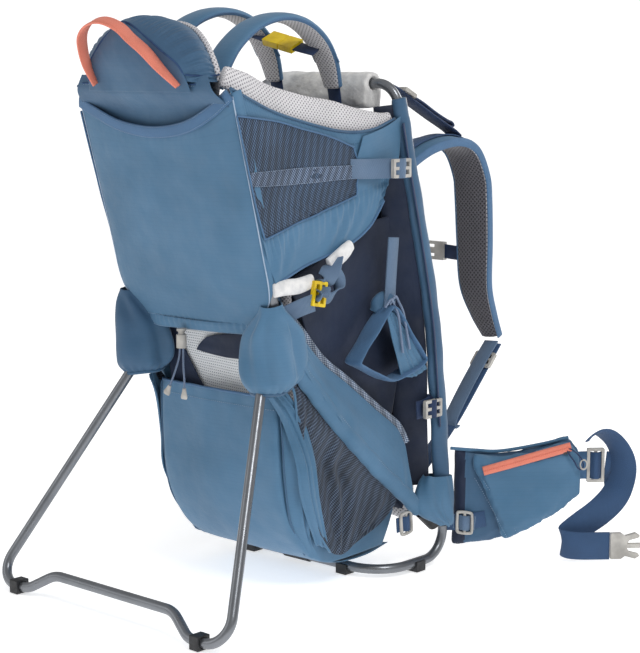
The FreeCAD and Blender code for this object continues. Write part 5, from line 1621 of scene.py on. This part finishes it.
def shape_fin(obj, side):
    seams = [fin_line(side, [(34, 154), (36, 110), (36, 60), (36, 13)], FIN_HALF),
             fin_line(side, [(14, 62), (40, 60), (66, 60)], FIN_HALF)]
    pull = seam_pull(seams, 5.0, 1.8)
    shape_points(obj, lambda p, n: pull(p, n) + creases(p, 26, 1.0) * 1.1)
    outward = Vector(fin_way(side, 0, 1, 0)).normalized()

    def choose(centre, normal):
        if normal.dot(outward) < -0.4:
            return 1
        x, y = centre.x * side - FIN_ROOT.x, centre.y - FIN_ROOT.y
        along = x * math.cos(FIN_TURN) + y * math.sin(FIN_TURN)
        return 2 if along < 34 else 0

    # painted shade: the right fin's outer face takes the darker shaded copy of the ripstop, the left fin's
    # the lit FABRIC
    dress(obj, [FABRIC if side == LEFT else SHADED_FABRIC, DARK_MESH, NAVY_FABRIC], choose)
    rim = fin_line(side, [(14, 153), (48, 150), (82, 148.5), (136, 157), (174, 166)], FIN_HALF - 2.5)
    edge = piping(f"fin_edge_{SIDES[side]}", rim, FABRIC, 4.5)
    placed(edge, f"hip_belt_{SIDES[side]}", "blue_fabric")


POCKET_FACE = FIN_HALF + 0.4 + 13.0
ZIP = [(56, 125), (95, 135.5), (135, 146.5), (174, 157)]


def shape_pocket(obj):
    seams = [fin_line(RIGHT, [(56, 113), (78, 79), (104, 38)], POCKET_FACE),
             fin_line(RIGHT, [(44, 117), (66, 78), (90, 32)], POCKET_FACE),
             fin_line(RIGHT, [(48, 116), (90, 127), (130, 138), (176, 149)], POCKET_FACE),
             fin_line(RIGHT, [(52, 133), (90, 143), (130, 154), (172, 165)], POCKET_FACE)]
    pull = seam_pull(seams, 4.5, 2.0)

    def move(points, normals):
        return pull(points, normals) + creases(points, 30, 3.0) * 1.2

    shape_points(obj, move)
    dress(obj, [FABRIC])
    body = "hip_belt_right"
    thread = [spread([tuple(np.array(p) + 0.9 * np.array(fin_way(RIGHT, 0, 1, 0))) for p in seam], 50)
              for seam in seams[:2]]
    placed(stitches("pocket_stitches", thread, THREAD), body, "blue_fabric")


def zip_band():
    """Coral tape with its ridge and teeth, and the pull's cord loop and ring."""
    body = "hip_belt_right"
    line = fin_line(RIGHT, ZIP, POCKET_FACE + 2.9)
    up = np.array(fin_way(RIGHT, -0.22, 0, 1))
    out = np.array(fin_way(RIGHT, 0, 1, 0))
    tape = band("zip_tape", line, up, [12.5, 13, 13, 12.5], 4.6, [CORAL_WEBBING], CROWNED_PAD, 60)
    placed(tape, body, "coral_webbing")
    ridge = [tuple(np.array(p) + out * 2.0) for p in line]
    placed(piping("zip_ridge", ridge, CORAL_WEBBING, 2.0), body, "coral_webbing")
    teeth = spread([tuple(np.array(p) + out * 3.0) for p in line], 80)
    placed(stitches("zip_teeth", [teeth], CORAL_WEBBING, 1.8, 1.1, 1.3), body, "coral_webbing")
    loop_points = [(170, 155, 4), (176, 153, 6), (184, 146, 7), (189, 139, 6), (191, 131, 5), (188, 126, 5),
                   (183, 129, 6), (178, 138, 7), (172, 146, 6), (169, 152, 5)]
    loop = [fin_point(RIGHT, s, POCKET_FACE + o, z) for s, z, o in loop_points]
    pull = piping("zip_pull_loop", loop, DARK_WEBBING, 2.0, 80)
    placed(pull, "zip_slider", "dark_metal")
    ring = [fin_point(RIGHT, 191 + 4.5 * math.cos(t), POCKET_FACE + 6, 133 + 6.5 * math.sin(t))
            for t in np.linspace(0, 2 * math.pi, 17)]
    placed(piping("zip_pull_ring", ring, GREY_PLASTIC, 2.2, 60), "zip_slider", "grey_plastic")


def ladder_lock(name, centre, along, wide_way, webbing, material):
    """A moulded buckle frame with a middle bar, as a ring and a bar."""
    centre, along, wide_way = (np.array(v, float) for v in (centre, along, wide_way))
    along /= np.linalg.norm(along)
    wide_way /= np.linalg.norm(wide_way)
    half_long, half_wide = 10.0, webbing / 2 + 3
    corners = [(-1, -0.7), (-0.75, -1), (0.75, -1), (1, -0.7), (1, 0.7), (0.75, 1), (-0.75, 1), (-1, 0.7)]
    ring = [tuple(centre + along * half_long * a + wide_way * half_wide * b) for a, b in corners]
    line = [tuple(p) for p in ring_spread(ring, 40)]
    line.append(line[0])
    out = np.cross(along, wide_way)
    frame_ring = band(name, line, tuple(out), 5.0, 4.2, [material], ROUND, 60)
    ends = [tuple(centre + wide_way * half_wide * b + out * 0.6) for b in (-1, 0, 1)]
    bar = band(name + "_bar", ends, tuple(out), 4.0, 4.2, [material], ROUND, 12)
    bar.parent = frame_ring
    return frame_ring


def over_bar(name, centre, along, out, wide_way, webbing, material, reach=15):
    """Webbing through a lock: under its frame, over its middle bar and under again."""
    centre, along, out = (np.array(v, float) for v in (centre, along, out))
    steps = [(-reach, -2.5), (-9, -2), (-5.5, 1.2), (-2.6, 4.2), (0, 5.0), (2.6, 4.2), (5.5, 1.2), (9, -2),
             (reach, -2.5)]
    line = [tuple(centre + along * a + out * b) for a, b in steps]
    return band(name, line, wide_way, webbing, 1.9, [material], samples=50)


def stabiliser(side):
    """The short strap that draws the fin to the frame, with its lock."""
    which = SIDES[side]
    body = f"hip_belt_{which}"
    place = [(2, 52, 11), (16, 52, 11), (28, 52, 11.5), (40, 53, 11.5), (62, 56, 10)]
    line = [fin_point(side, s, o, z) for s, z, o in place]
    web = band(f"stabiliser_web_{which}", line, fin_way(side, 0, 0, 1), 22, 2.0, [NAVY_WEBBING])
    placed(web, body, "navy_webbing")
    along = fin_way(side, 1, 0, -0.1)
    seat = fin_point(side, 33, 14.5, 52)
    lock = ladder_lock(f"stabiliser_lock_{which}", seat, along, (0, 0, 1), 22, GREY_PLASTIC)
    placed(lock, body, "grey_plastic")
    cover = over_bar(f"stabiliser_loop_{which}", fin_point(side, 33, 13.6, 52), along,
                     fin_way(side, 0, 1, 0), (0, 0, 1), 20, GREY_WEBBING)
    placed(cover, body, "navy_webbing")


def lock_webbings():
    """The webbing seen in the ladder locks of the uprights and at the hip."""
    for side in (RIGHT, LEFT):
        which = SIDES[side]
        out = (side, 0, 0)
        web = over_bar(f"upright_web_{which}", (side * 155.5, 92, 217), (0, 1, 0), out, (0, 0, 1), 24,
                       DARK_WEBBING)
        placed(web, ROOT, "navy_webbing")
        anchor = flipped([(150, 104, 228), (148, 100, 222), (147, 84, 217), (146, 70, 216)], side)
        webbing(f"upright_anchor_{which}", anchor, (0, 0, 1), 24, 2.0, DARK_WEBBING)
        low = ladder_lock(f"lower_side_lock_{which}", (side * 140, 58, 66), (0, 1, 0.1), (0, -0.1, 1), 22,
                          GREY_PLASTIC)
        placed(low, ROOT, "grey_plastic")
        web = over_bar(f"lower_side_web_{which}", (side * 139, 58, 66), (0, 1, 0.1), out, (0, -0.1, 1), 20,
                       NAVY_WEBBING)
        placed(web, ROOT, "navy_webbing")
        seat = fin_point(side, 213, 0, 126)
        web = over_bar(f"belt_lock_web_{which}", seat, fin_way(side, 1, 0, 0), fin_way(side, 0, 1, 0),
                       (0, 0, 1), 37, NAVY_WEBBING, 12)
        placed(web, f"hip_belt_{which}", "navy_webbing")
        tab = [fin_point(side, s, 0, z) for s, z in ((176, 124), (192, 126), (204, 126))]
        tab_band = band(f"belt_tab_{which}", tab, (0, 0, 1), 38, 3, [BINDING], samples=12)
        placed(tab_band, f"hip_belt_{which}", "blue_fabric")


# ---- hardware kept from the frame -------------------------------------------------------

HARDWARE = {
    "main_frame_tube": TUBE_METAL,
    "rear_frame_tube": TUBE_METAL,
    "kickstand_tube": TUBE_METAL,
    "frame_coupling_sleeve": BLACK_PLASTIC,
    "kickstand_eyelets": DARK_METAL,
    "hinge_knuckle_right": BLACK_PLASTIC,
    "hinge_knuckle_left": BLACK_PLASTIC,
    "lower_corner_joints": BLACK_PLASTIC,
    "rear_ground_clips": BLACK_PLASTIC,
    "side_ground_clips": BLACK_PLASTIC,
    "kickstand_feet": BLACK_PLASTIC,
    "leg_adjusters": YELLOW_PLASTIC,
    "strap_locks": GREY_PLASTIC,
    "hip_lock_right": GREY_PLASTIC,
    "hip_lock_left": GREY_PLASTIC,
    "hip_buckle_male": GREY_PLASTIC,
    "hip_buckle_female": GREY_PLASTIC,
    "harness_buckle_male": YELLOW_PLASTIC,
    "harness_buckle_female": YELLOW_PLASTIC,
    "sternum_buckle": GREY_PLASTIC,
    "sternum_sliders": GREY_PLASTIC,
    "hip_zip_slider": DARK_METAL,
    "cord_lock_body": GREY_PLASTIC,
    "cord_lock_plunger": GREY_PLASTIC,
}
ROUNDED_EDGES = ("leg_adjusters", "strap_locks", "hip_lock_right", "hip_lock_left", "hip_buckle_male",
                 "hip_buckle_female", "harness_buckle_male", "harness_buckle_female", "sternum_buckle",
                 "sternum_sliders", "kickstand_feet", "rear_ground_clips", "side_ground_clips")


def dress_hardware():
    for name, material in HARDWARE.items():
        obj = NODES[name]
        if not obj.material_slots:
            obj.data.materials.append(material)
        for slot in obj.material_slots:
            slot.material = material
        if name in ROUNDED_EDGES:
            weld = obj.modifiers.new("weld", "WELD")
            weld.merge_threshold = 0.00002
            edge = obj.modifiers.new("edge", "BEVEL")
            edge.width = 0.0009
            edge.segments = 2
            edge.limit_method = "ANGLE"
            edge.angle_limit = math.radians(40)
            edge.harden_normals = True


def dress_stuffed(pieces):
    for name, size, seed in (("chin_roll", 20, 1.0), ("child_backrest", 40, 2.0), ("seat_pad", 40, 3.0),
                             ("wearer_panel", 50, 4.0), ("spine_pads", 30, 5.0), ("lumbar", 40, 6.0)):
        shape_points(pieces[name], lambda p, n, s=size, k=seed: creases(p, s, k) * 1.2)
    dress(pieces["chin_roll"], [FLEECE])
    dress(pieces["child_backrest"], [NAVY_FABRIC])
    dress(pieces["seat_pad"], [NAVY_FABRIC])
    dress(pieces["wearer_panel"], [DARK_MESH, NAVY_FABRIC], lambda c, n: 1 if n.y < 0.2 else 0)
    dress(pieces["spine_pads"], [LIGHT_MESH])
    dress(pieces["lumbar"], [LIGHT_MESH])
    shape_fin(pieces["belt_fin_right"], RIGHT)
    shape_fin(pieces["belt_fin_left"], LEFT)
    shape_pocket(pieces["belt_pocket"])


def build():
    add_camera()
    add_studio()
    make_hip_webbings()
    make_drawcords()
    stuffed = make_stuffed()
    dress_stuffed(stuffed)
    finish_stuffed(stuffed)
    dress_hardware()
    rear_pocket()
    tunnel_strip()
    upper_back()
    headrest()
    grab_handle()
    storage_bag()
    under_seat_net()
    sternum_strap()
    zip_band()
    lock_webbings()
    for side in (RIGHT, LEFT):
        cockpit_side(side)
        cockpit_front(side)
        collar(side)
        harness(side)
        hinge_cover(side)
        strut_sleeve(side)
        wing(side)
        inner_side(side)
        mesh_triangle(side)
        corner_pouch(side)
        upright_sleeve(side)
        bag_side(side)
        stirrup(side)
        leg_loop(side)
        shoulder_strap(side)
        load_lifter(side)
        lower_webbing(side)
        stabiliser(side)


build()
